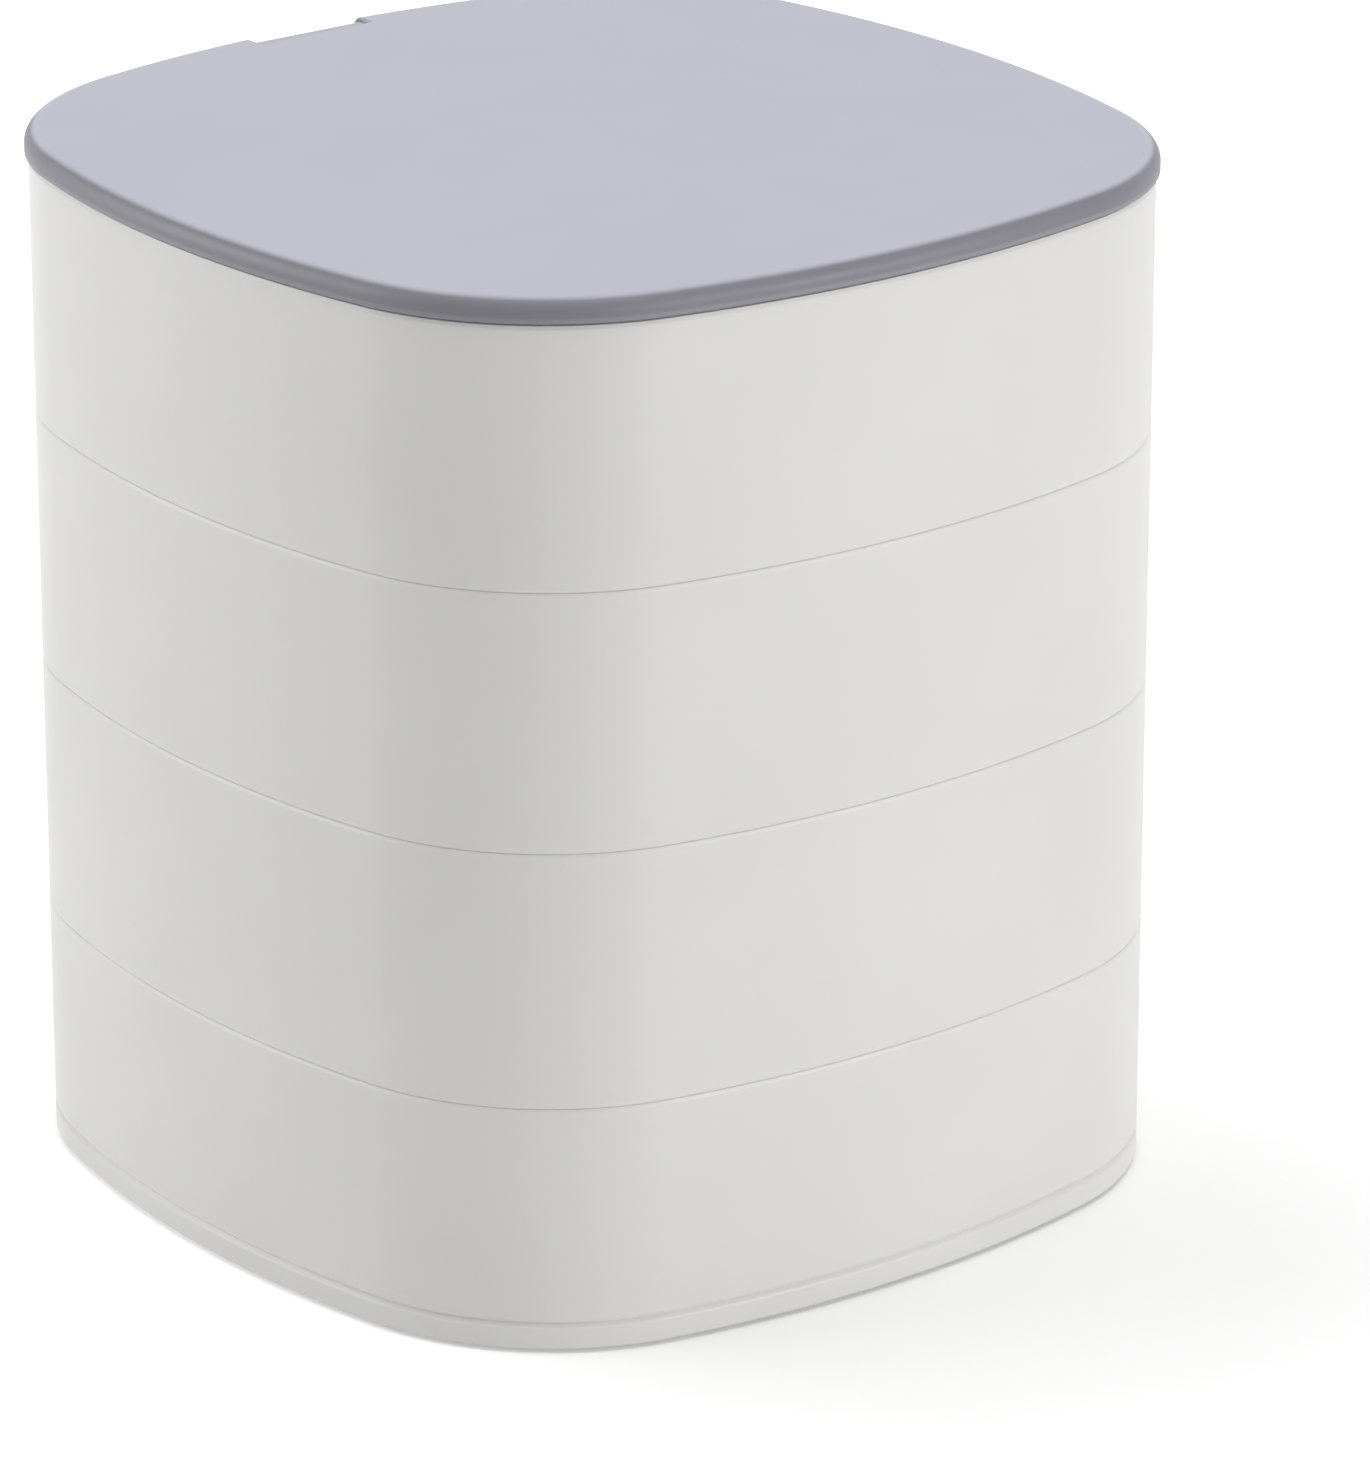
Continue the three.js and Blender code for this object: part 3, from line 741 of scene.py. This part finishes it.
def foot(corner):
    """A rubber foot with a rounded lower edge and a shallow dish underneath."""
    low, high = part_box(f"foot_{corner}")
    place = middle(f"foot_{corner}").xy
    piece = cylinder(f"foot_pad_{corner}", high.x - place.x, place, low.z, high.z)
    open_up(piece)
    pick(piece, "EDGE", lambda e: lies_at(e, low.z))
    bpy.ops.mesh.bevel(offset=FOOT_EDGE, segments=4, affect="EDGES")
    pick(piece, "FACE", lambda f: f.normal.z < FACES_DOWN)
    bpy.ops.mesh.inset(thickness=FOOT_DISH_INSET)
    bpy.ops.mesh.inset(thickness=FOOT_DISH_DEPTH)
    bpy.ops.transform.translate(value=(0, 0, FOOT_DISH_DEPTH))
    close_up()
    return smooth(piece)


def thread(name, root, crest, pitch, bottom, top, place):
    """A threaded rod: a zigzag line is swept round once while it rises by one pitch."""
    outwards, upwards = Vector((crest - root, 0, pitch / 2)), Vector((0, 0, pitch))
    zigzag = [Vector((root, 0, bottom))]
    while zigzag[-1].z < top - 2 * pitch:
        zigzag += [zigzag[-1] + outwards, zigzag[-1] + upwards]
    piece = draw_line(name, zigzag)
    close_up()
    finish_modifier(
        piece, "SCREW", angle=2 * math.pi, screw_offset=pitch,
        steps=THREAD_STEPS, render_steps=THREAD_STEPS,
    )
    open_up(piece)
    merge_doubles()
    for at_end in (lies_below, lies_above):
        pick(piece, "EDGE", lambda edge: edge.is_boundary and at_end(edge, (bottom + top) / 2))
        bpy.ops.mesh.edge_face_add()
    turn_outwards()
    bpy.ops.transform.translate(value=(*place, 0))
    close_up()
    return piece


def screw(node, shank, head_height, pitch, upside_down=False):
    """A pan head screw with a cross recess, a thread and a point."""
    low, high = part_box(node)
    place = middle(node).xy
    head_radius = high.x - place.x
    way = -1 if upside_down else 1
    outer, tip = (high.z, low.z) if upside_down else (low.z, high.z)
    seat = outer + way * head_height
    piece = turned(node + "_head", [
        (0, outer, 0),
        (head_radius, outer, head_height * PAN_ROUND_SHARE),
        (head_radius, seat, SCREW_EDGE),
        (shank, seat, 0),
        (shank, seat + way * pitch, 0),
        (0, seat + way * pitch, 0),
    ], place)
    root = shank * THREAD_ROOT_SHARE
    start, end = sorted((seat, tip - way * shank))
    weld(piece, thread("thread", root, shank + THREAD_PROUD, pitch, start, end, place))
    weld(piece, turned("point", [
        (0, tip, 0),
        (root, tip - way * shank, 0),
        (root, tip - way * 2 * shank, 0),
        (0, tip - way * 2 * shank, 0),
    ], place))
    for turn in (0, math.pi / 2):
        cut(piece, recess_blade(place, outer, way, head_radius, head_height, turn))
    return smooth(piece, angle=SCREW_SMOOTH_ANGLE)


def recess_blade(place, outer, way, head_radius, head_height, turn):
    """One blade of a cross recess, narrower at its end."""
    length, breadth = head_radius * RECESS_LENGTH_SHARE, head_radius * RECESS_BREADTH_SHARE
    depth = head_height * RECESS_DEPTH_SHARE
    end = outer + way * depth
    start = outer - way * depth
    piece = block(
        "recess", (-length, -breadth, min(start, end)), (length, breadth, max(start, end)),
    )
    open_up(piece)
    pick(piece, "VERT", lambda v: near(v.co.z, end))
    taper = (RECESS_TAPER_SHARE, RECESS_TAPER_SHARE, 1)
    bpy.ops.transform.resize(value=taper, center_override=(0, 0, end))
    close_up()
    piece.rotation_euler = (0, 0, turn + math.pi / 4)
    piece.location = (*place, 0)
    apply_place()
    return piece


def washer(node, hole):
    """A flat ring with softened edges."""
    low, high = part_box(node)
    place = middle(node).xy
    radius = high.x - place.x
    between = (hole + radius) / 2
    return smooth(turned(node + "_ring", [
        (between, low.z, 0),
        (radius, low.z, WASHER_EDGE),
        (radius, high.z, WASHER_EDGE),
        (hole, high.z, WASHER_EDGE),
        (hole, low.z, WASHER_EDGE),
        (between, low.z, 0),
    ], place))


def pivot_shaft():
    """The steel shaft with a blind bore for a screw in each end."""
    low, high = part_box("pivot_shaft")
    radius = high.x - pivot.x
    return smooth(turned("pivot_shaft_rod", [
        (0, low.z + SHAFT_BORE_DEPTH, 0),
        (SHAFT_BORE, low.z + SHAFT_BORE_DEPTH, 0),
        (SHAFT_BORE, low.z, 0),
        (radius, low.z, SHAFT_EDGE),
        (radius, high.z, SHAFT_EDGE),
        (SHAFT_BORE, high.z, 0),
        (SHAFT_BORE, high.z - SHAFT_BORE_DEPTH, 0),
        (0, high.z - SHAFT_BORE_DEPTH, 0),
    ], pivot))


def hinge_pin():
    """The steel pin of the hinge, with softened ends."""
    low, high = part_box("hinge_pin")
    radius = (high.z - low.z) / 2
    y, z = (low.y + high.y) / 2, (low.z + high.z) / 2
    piece = rod("hinge_pin_rod", radius, y, z, high.x, sides=BORE_SIDES)
    open_up(piece)
    pick(piece, "EDGE", lambda e: near(e.verts[0].co.x, e.verts[1].co.x))
    bpy.ops.mesh.bevel(offset=PIN_EDGE, segments=3, affect="EDGES")
    close_up()
    return smooth(piece)


def pivot_cap():
    """The plain cap over the upper screw of the shaft."""
    low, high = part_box("pivot_cap")
    under = high.z - CAP_FLANGE
    piece = cylinder(
        "pivot_cap_disc", high.x - pivot.x, pivot, under, high.z, edge=CAP_EDGE, steps=5,
    )
    spigot_top = high.z - CAP_FLANGE / 2
    weld(piece, cylinder("spigot", CAP_WELL_RADIUS - FIT_GAP, pivot, low.z, spigot_top))
    return smooth(piece)


def puff(piece, pinned):
    """Blows up the cover as cloth, held where it is pinned, and keeps each move small."""
    start = [v.co.copy() for v in piece.data.vertices]
    held = piece.vertex_groups.new(name="held")
    held.add([v.index for v in piece.data.vertices if pinned(v.co)], 1, "REPLACE")
    cloth = piece.modifiers.new("cover", "CLOTH")
    cloth.settings.quality = COVER_QUALITY
    cloth.settings.mass = COVER_MASS
    cloth.settings.tension_stiffness = cloth.settings.compression_stiffness = COVER_STIFFNESS
    cloth.settings.bending_stiffness = COVER_BENDING
    cloth.settings.use_pressure = True
    cloth.settings.uniform_pressure_force = COVER_PRESSURE
    cloth.settings.shrink_min = -COVER_SLACK_SHARE
    cloth.settings.vertex_group_mass = held.name
    cloth.settings.effector_weights.gravity = 0
    cloth.collision_settings.use_collision = False
    cloth.point_cache.frame_start, cloth.point_cache.frame_end = 1, COVER_FRAMES
    for frame_number in range(1, COVER_FRAMES + 1):
        bpy.context.scene.frame_set(frame_number)
    take_up(piece)
    bpy.ops.object.modifier_apply(modifier=cloth.name)
    bpy.context.scene.frame_set(1)
    for vertex, before in zip(piece.data.vertices, start):
        move = vertex.co - before
        if move.length > COVER_MOVE:
            vertex.co = before + move * (COVER_MOVE / move.length)
    piece.vertex_groups.clear()


def cushion():
    """Foam rolls under velvet, side by side, which hold rings between them."""
    low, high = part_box("ring_cushion")
    low = low + Vector((COVER_MOVE, COVER_MOVE, 0))
    high = high - Vector((COVER_MOVE, COVER_MOVE, COVER_MOVE))
    radius = (high.y - low.y) / 2 / ROLL_COUNT
    piece = None
    for number in range(ROLL_COUNT):
        y = low.y + radius * (2 * number + 1)
        roll = begin(
            f"roll_{number}", bpy.ops.mesh.primitive_cylinder_add, vertices=ROLL_SIDES,
            radius=radius * ROLL_SHARE, depth=high.x - low.x + 2 * ROLL_OVERRUN,
            location=((high.x + low.x) / 2, y, high.z - radius), rotation=(0, math.pi / 2, 0),
        )
        apply_place()
        piece = weld(piece, roll) if piece else roll
    piece.name = piece.data.name = "velvet_cushion"
    core_side = radius * CORE_SIDE_SHARE
    weld(piece, block(
        "core", (low.x - ROLL_OVERRUN, low.y + core_side, low.z + CORE_LIFT),
        (high.x + ROLL_OVERRUN, high.y - core_side, high.z - radius * CORE_TOP_SHARE),
    ))
    keep_inside(piece, prism("envelope", WALL + CUSHION_GAP + COVER_MOVE, low.z, high.z + OVERRUN))
    cut(piece, block(
        "right_side", (high.x, -half, low.z - OVERRUN), (half, half, high.z + OVERRUN),
    ))
    cut(piece, flange_block(FIT_GAP))
    finish_modifier(piece, "REMESH", mode="VOXEL", voxel_size=COVER_GRID, use_smooth_shade=True)
    finish_modifier(piece, "SMOOTH", factor=COVER_SMOOTHING, iterations=5)
    valleys = high.z - radius * HELD_SHARE
    puff(piece, lambda point: point.z < valleys or point.z < low.z + 2 * COVER_GRID)
    finish_modifier(piece, "SMOOTH", factor=COVER_SMOOTHING, iterations=1)
    finish_modifier(piece, "SUBSURF", levels=1, render_levels=1)
    return piece


# Finishes

class Value:
    """A shader value that works in Python expressions by adding Math nodes."""

    def __init__(self, nodes, socket):
        self.nodes, self.socket = nodes, socket

    def __add__(self, other):
        return self.nodes.maths("ADD", self, other)

    def __sub__(self, other):
        return self.nodes.maths("SUBTRACT", self, other)

    def __rsub__(self, other):
        return self.nodes.maths("SUBTRACT", other, self)

    def __mul__(self, other):
        return self.nodes.maths("MULTIPLY", self, other)

    __radd__ = __add__
    __rmul__ = __mul__


class Nodes:
    """The nodes of a material or of the surroundings."""

    def __init__(self, tree):
        self.tree = tree

    def node(self, kind, settings=None, sockets=None, output=0):
        """Adds a node with its settings, and the values or links of its sockets."""
        made = self.tree.nodes.new(kind)
        for key, value in (settings or {}).items():
            setattr(made, key, value)
        for key, value in (sockets or {}).items():
            self.feed(made.inputs[key], value)
        return Value(self, made.outputs[output])

    def feed(self, socket, value):
        if isinstance(value, Value):
            self.tree.links.new(value.socket, socket)
        else:
            socket.default_value = value

    def maths(self, operation, a, b):
        return self.node("ShaderNodeMath", {"operation": operation}, {0: a, 1: b})

    def plainly_seen(self):
        """Is 1 for what the camera sees by itself, in a gloss or through glass, and otherwise 0."""
        seen = self.node("ShaderNodeLightPath", output="Is Camera Ray")
        for ray in ("Is Glossy Ray", "Is Transmission Ray"):
            seen = self.maths("MAXIMUM", seen, self.node("ShaderNodeLightPath", output=ray))
        return seen


class Finish(Nodes):
    """One material with a principled shader and the nodes that vary it."""

    def __init__(self, name, **fixed):
        self.material = bpy.data.materials.new(name)
        self.material.use_nodes = True
        super().__init__(self.material.node_tree)
        self.shader = self.tree.nodes["Principled BSDF"]
        for socket, value in fixed.items():
            self.shader.inputs[socket.replace("_", " ")].default_value = value
        self.place = self.node("ShaderNodeTexCoord", output="Object")

    def set(self, socket, value):
        self.feed(self.shader.inputs[socket], value)

    def noise(self, size, detail=2, stretch=(1, 1, 1)):
        """Noise whose features have about the given size, in millimetres."""
        mapping = {"Vector": self.place, "Scale": stretch}
        place = self.node("ShaderNodeMapping", sockets=mapping)
        sockets = {"Vector": place, "Scale": 1 / (size * MM), "Detail": detail}
        return self.node("ShaderNodeTexNoise", sockets=sockets, output="Fac")

    def height(self):
        return self.node("ShaderNodeSeparateXYZ", sockets={"Vector": self.place}, output="Z")

    def blend(self, amount, a, b):
        return self.node("ShaderNodeMix", {"data_type": "RGBA"}, {0: amount, 6: a, 7: b}, 2)

    def band(self, value, low, high, to_low=0, to_high=1):
        """Runs smoothly from one number to another while the value goes from low to high."""
        sockets = {
            "Value": value, "From Min": low, "From Max": high, "To Min": to_low, "To Max": to_high,
        }
        return self.node("ShaderNodeMapRange", {"interpolation_type": "SMOOTHSTEP"}, sockets)

    def relief(self, height, depth, strength):
        """Bumps as deep as the given depth, in millimetres."""
        sockets = {"Strength": strength, "Distance": depth * MM, "Height": height}
        self.set("Normal", self.node("ShaderNodeBump", sockets=sockets, output="Normal"))


def colour(red, green, blue):
    return (red, green, blue, 1)


WHITE_TONES = (colour(0.79, 0.785, 0.76), colour(0.81, 0.805, 0.79))
LAVENDER_TONES = (colour(0.57, 0.575, 0.67), colour(0.588, 0.59, 0.68))
# Painted shade for the lid's side, and a paler painted highlight along its foot
PAINTED_SHADE_MAUVE_TONES = (colour(0.215, 0.21, 0.247), colour(0.23, 0.225, 0.257))
PAINTED_HIGHLIGHT_MAUVE_FOOT = colour(0.285, 0.28, 0.31)
WHITE_FINISH = {"roughness": 0.33, "grain_depth": 0.006}
LAVENDER_FINISH = {"roughness": 0.42, "grain_depth": 0.008}
MOULDED_IOR = 1.46
MARKS_ROUGHNESS = 0.06
SPECK_ROUGHNESS = 0.05
RIPPLE_SHARE = 0.8


def tone_drift(finish):
    return finish.band(finish.noise(size=28), low=0.35, high=0.65)


def handling_marks(finish):
    smear = finish.noise(size=9, detail=4, stretch=(1, 1, 0.4))
    return finish.band(smear, low=0.3, high=0.7) * MARKS_ROUGHNESS


def mould_grain(finish, depth):
    grain, ripple = finish.noise(size=0.22), finish.noise(size=2.2)
    finish.relief(grain + ripple * RIPPLE_SHARE, depth, strength=0.6)


def moulded(name, tones, roughness, grain_depth):
    """Moulded plastic: a slight drift of tone, a fine mould grain and faint handling marks."""
    finish = Finish(name, IOR=MOULDED_IOR, Specular_IOR_Level=0.4)
    finish.set("Base Color", finish.blend(tone_drift(finish), *tones))
    speck = finish.noise(size=0.5)
    specks = (speck - 0.5) * SPECK_ROUGHNESS
    finish.set("Roughness", roughness + handling_marks(finish) + specks)
    mould_grain(finish, grain_depth)
    return finish.material


def painted_shade_lid_side():
    """The side of the lid: lavender where it meets the top, painted shade in dark mauve below, and
    a paler painted highlight at the foot.
    """
    finish = Finish("lid_side_painted_shade", IOR=MOULDED_IOR)
    height = finish.height()
    drift = tone_drift(finish)
    # A paler painted highlight along the foot, and dark mauve painted shade above it
    foot = finish.band(height, lid_under + LID_PAINTED_HIGHLIGHT_TOP, lid_under + LID_PAINTED_HIGHLIGHT_TOP / 2)
    side = finish.blend(foot, finish.blend(drift, *PAINTED_SHADE_MAUVE_TONES), PAINTED_HIGHLIGHT_MAUVE_FOOT)
    # Lavender where the side meets the top, above the painted shade
    top = finish.band(height, lid_top - LID_PAINTED_SHADE_DEPTH, lid_top)
    finish.set("Base Color", finish.blend(top, side, finish.blend(drift, *LAVENDER_TONES)))
    finish.set("Roughness", LAVENDER_FINISH["roughness"] + handling_marks(finish))
    mould_grain(finish, LAVENDER_FINISH["grain_depth"])
    return finish.material


def bright_steel():
    finish = Finish("bright_steel", Metallic=1.0)
    lines = finish.noise(size=0.5, detail=3, stretch=(1, 1, 14))
    cloud = finish.noise(size=4, detail=3)
    tones = colour(0.58, 0.58, 0.59), colour(0.68, 0.68, 0.68)
    finish.set("Base Color", finish.blend(cloud, *tones))
    finish.set("Roughness", 0.22 + lines * 0.16)
    finish.relief(lines, depth=0.006, strength=0.5)
    return finish.material


def silvered_glass():
    """Silvered glass, darker on the bevel that is ground round its face."""
    finish = Finish("silvered_glass", Metallic=1.0)
    cloud = finish.noise(size=30, detail=1)
    face = finish.blend(cloud, colour(0.77, 0.79, 0.785), colour(0.785, 0.8, 0.8))
    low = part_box("lid_mirror")[0].z
    face_edge, bevel_edge = low + PROUD, low + 3 * PROUD
    ground = finish.band(finish.height(), face_edge, bevel_edge)
    finish.set("Base Color", finish.blend(ground, face, colour(0.62, 0.65, 0.65)))
    haze = finish.band(finish.noise(size=6, detail=4), low=0.55, high=0.8)
    finish.set("Roughness", 0.015 + haze * 0.02)
    return finish.material


def grey_rubber():
    finish = Finish("grey_rubber")
    cloud = finish.noise(size=3, detail=3)
    tones = colour(0.25, 0.25, 0.25), colour(0.3, 0.3, 0.295)
    finish.set("Base Color", finish.blend(cloud, *tones))
    finish.set("Roughness", 0.7 + cloud * 0.15)
    finish.relief(finish.noise(size=0.25, detail=3), depth=0.03, strength=0.6)
    return finish.material


def natural_nylon():
    finish = Finish("natural_nylon")
    cloud = finish.noise(size=2)
    tones = colour(0.7, 0.69, 0.64), colour(0.74, 0.73, 0.7)
    finish.set("Base Color", finish.blend(cloud, *tones))
    finish.set("Roughness", 0.42 + cloud * 0.1)
    return finish.material


def foam_tape():
    finish = Finish("white_foam_tape", Roughness=0.9)
    cells = finish.noise(size=0.4)
    tones = colour(0.8, 0.8, 0.77), colour(0.88, 0.88, 0.86)
    finish.set("Base Color", finish.blend(cells, *tones))
    finish.relief(cells, depth=0.05, strength=0.7)
    return finish.material


def short_velvet():
    """Velvet: pile that leans one way and another, darker where it is brushed up."""
    finish = Finish("short_velvet", Sheen_Weight=0.8, Sheen_Roughness=0.4)
    brushed = finish.band(finish.noise(size=9, detail=3), low=0.35, high=0.7)
    pile = finish.noise(size=0.35, detail=3)
    tone = finish.blend(brushed, colour(0.16, 0.15, 0.19), colour(0.24, 0.23, 0.28))
    finish.set("Base Color", finish.blend(pile * 0.5, tone, colour(0.3, 0.29, 0.34)))
    finish.set("Roughness", 0.85 + pile * 0.1)
    finish.relief(pile, depth=0.12, strength=0.7)
    return finish.material


def white_floor():
    """A white floor that the camera sees as white wherever no shadow lies; its glow is weaker round
    a set place in front of the box, which paints where the faint shadow shows.
    """
    finish = Finish("white_floor", Roughness=0.9, Emission_Strength=1.0)
    finish.set("Base Color", colour(FLOOR_TONE, FLOOR_TONE, FLOOR_TONE))
    sockets = {0: finish.place, 1: SHADOW_PLACE}
    reach = finish.node("ShaderNodeVectorMath", {"operation": "DISTANCE"}, sockets, "Value")
    # Weaker glow round SHADOW_PLACE: a painted shadow place
    painted_shadow_glow = finish.band(reach, SHADOW_CORE, SHADOW_REACH, SHADOW_GLOW, OPEN_GLOW)
    glow = painted_shadow_glow + finish.band(reach, FAR_FROM, FAR_TO, 0, FAR_GLOW)
    lit = finish.blend(finish.plainly_seen() * glow, colour(0, 0, 0), colour(1, 1, 1))
    finish.set("Emission Color", lit)
    return finish.material


def white_world():
    """Surroundings that are seen as white and light the box more faintly."""
    world = bpy.data.worlds.new("studio_world")
    world.use_nodes = True
    surround = Nodes(world.node_tree)
    background = world.node_tree.nodes["Background"]
    background.inputs["Color"].default_value = colour(1, 1, 1)
    strength = surround.plainly_seen() * (1 - AMBIENT) + AMBIENT
    surround.feed(background.inputs["Strength"], strength)
    return world


# Light, floor and camera

def direction(azimuth, elevation):
    """Which way an azimuth from the front, to the right, and an elevation point, in degrees."""
    side, up = math.radians(azimuth), math.radians(elevation)
    return Vector((math.sin(side) * math.cos(up), -math.cos(side) * math.cos(up), math.sin(up)))


def place_in_scene(name, data):
    seat = bpy.data.objects.new(name, data)
    bpy.context.scene.collection.objects.link(seat)
    return seat


def area_lamp(name, azimuth, elevation, width, height, power):
    """A soft lamp that points at the middle of the storage box."""
    away = direction(azimuth, elevation)
    data = bpy.data.lights.new(name, "AREA")
    data.shape = "RECTANGLE"
    data.size, data.size_y = width, height
    data.energy = power
    lamp = place_in_scene(name, data)
    lamp.location = Vector((0, 0, lid_top / 2)) + away * LAMP_DISTANCE
    lamp.rotation_mode = "QUATERNION"
    lamp.rotation_quaternion = (-away).to_track_quat("-Z", "Y")
    lamp.visible_glossy = name != NOT_IN_GLOSS


def studio():
    """Four soft lamps, white surroundings and a white floor."""
    for name, settings in LAMPS.items():
        area_lamp(name, *settings)
    bpy.context.scene.world = white_world()
    floor = begin("floor", bpy.ops.mesh.primitive_plane_add, size=FLOOR_SIZE, location=(0, 0, 0))
    floor.data.materials.append(white_floor())


def camera():
    """The camera of the photograph, found by fitting the traced edges of the box."""
    data = bpy.data.cameras.new("camera")
    data.sensor_width = SENSOR_WIDTH
    data.lens = FOCAL_LENGTH
    data.clip_start = NEAREST_SEEN
    seat = place_in_scene("camera", data)
    away = direction(CAMERA_AZIMUTH, CAMERA_ELEVATION)
    seat.location = Vector((0, 0, CAMERA_CENTRE_HEIGHT)) + away * CAMERA_DISTANCE
    tilt = math.pi / 2 - math.radians(LOOK_DOWN)
    seat.rotation_euler = (tilt, 0, math.radians(LOOK_AZIMUTH))
    bpy.context.scene.camera = seat


# Assembly

WHITE = moulded("warm_white_moulding", WHITE_TONES, **WHITE_FINISH)
LAVENDER = moulded("lavender_moulding", LAVENDER_TONES, **LAVENDER_FINISH)
# The material of the lid's side, which paints shade on it
LID_SIDE_PAINTED_SHADE = painted_shade_lid_side()
STEEL = bright_steel()
MIRROR = silvered_glass()
RUBBER = grey_rubber()
NYLON = natural_nylon()
TAPE = foam_tape()
VELVET = short_velvet()


def dress(piece, material):
    piece.data.materials.clear()
    piece.data.materials.append(material)


def stand_for(piece, node, body, material):
    """Puts a finished piece in the place of its CAD node, on the body that carries it."""
    dress(piece, material)
    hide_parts(node)
    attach(piece, body)
    return piece


def paint_lid_side_shade(piece):
    """The side of the lid, round its edges, gets a darker mauve than its top: painted shade."""
    piece.data.materials.append(LID_SIDE_PAINTED_SHADE)
    for face in piece.data.polygons:
        in_painted_shade = plan_inset(face.center) < LID_EDGE_RADIUS - LID_OVERHANG
        if in_painted_shade and abs(face.normal.z) < LIES_FLAT:
            face.material_index = 1


stand_for(bottom_tray(), "bottom_tray", "base", WHITE)
for body, cells in (("lower_middle", LOWER_CELLS), ("upper_middle", UPPER_CELLS)):
    stand_for(swing_tray(f"{body}_tray", cells), f"{body}_tray", body, WHITE)
stand_for(top_tray(), "top_tray", "top", WHITE)
stand_for(base_cover(), "base_cover", "base", WHITE)
# The lid's side gets painted shade
paint_lid_side_shade(stand_for(lid(), "lid", "lid", LAVENDER))
stand_for(hinge_block(), "hinge_block", "top", LAVENDER)
stand_for(mirror(), "lid_mirror", "lid", MIRROR)
stand_for(pivot_cap(), "pivot_cap", "top", WHITE)
stand_for(cushion(), "ring_cushion", "top", VELVET)
for corner in CORNERS:
    stand_for(foot(corner), f"foot_{corner}", "base", RUBBER)
for corner in SCREW_CORNERS:
    node = f"base_screw_{corner}"
    base_screw = screw(node, SCREW_SHANK, SCREW_HEAD_HEIGHT, SCREW_PITCH)
    stand_for(base_screw, node, "base", STEEL)
for end, head_height in (("lower", SCREW_HEAD_HEIGHT), ("upper", UPPER_HEAD_HEIGHT)):
    node = f"pivot_screw_{end}"
    shaft_screw = screw(node, SHAFT_SCREW_SHANK, head_height, SHAFT_SCREW_PITCH, end == "upper")
    stand_for(shaft_screw, node, "base", STEEL)
stand_for(washer("pivot_washer_top", SHAFT_SCREW_HOLE), "pivot_washer_top", "base", STEEL)
stand_for(pivot_shaft(), "pivot_shaft", "base", STEEL)
stand_for(hinge_pin(), "hinge_pin", "top", STEEL)
for level, body in (("lower", "base"), ("middle", "lower_middle"), ("upper", "upper_middle")):
    stand_for(washer(f"washer_{level}", SHAFT_HOLE), f"washer_{level}", body, NYLON)

dress(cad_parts["mirror_tape"], TAPE)

studio()
camera()
bpy.context.scene.view_settings.view_transform = "Standard"
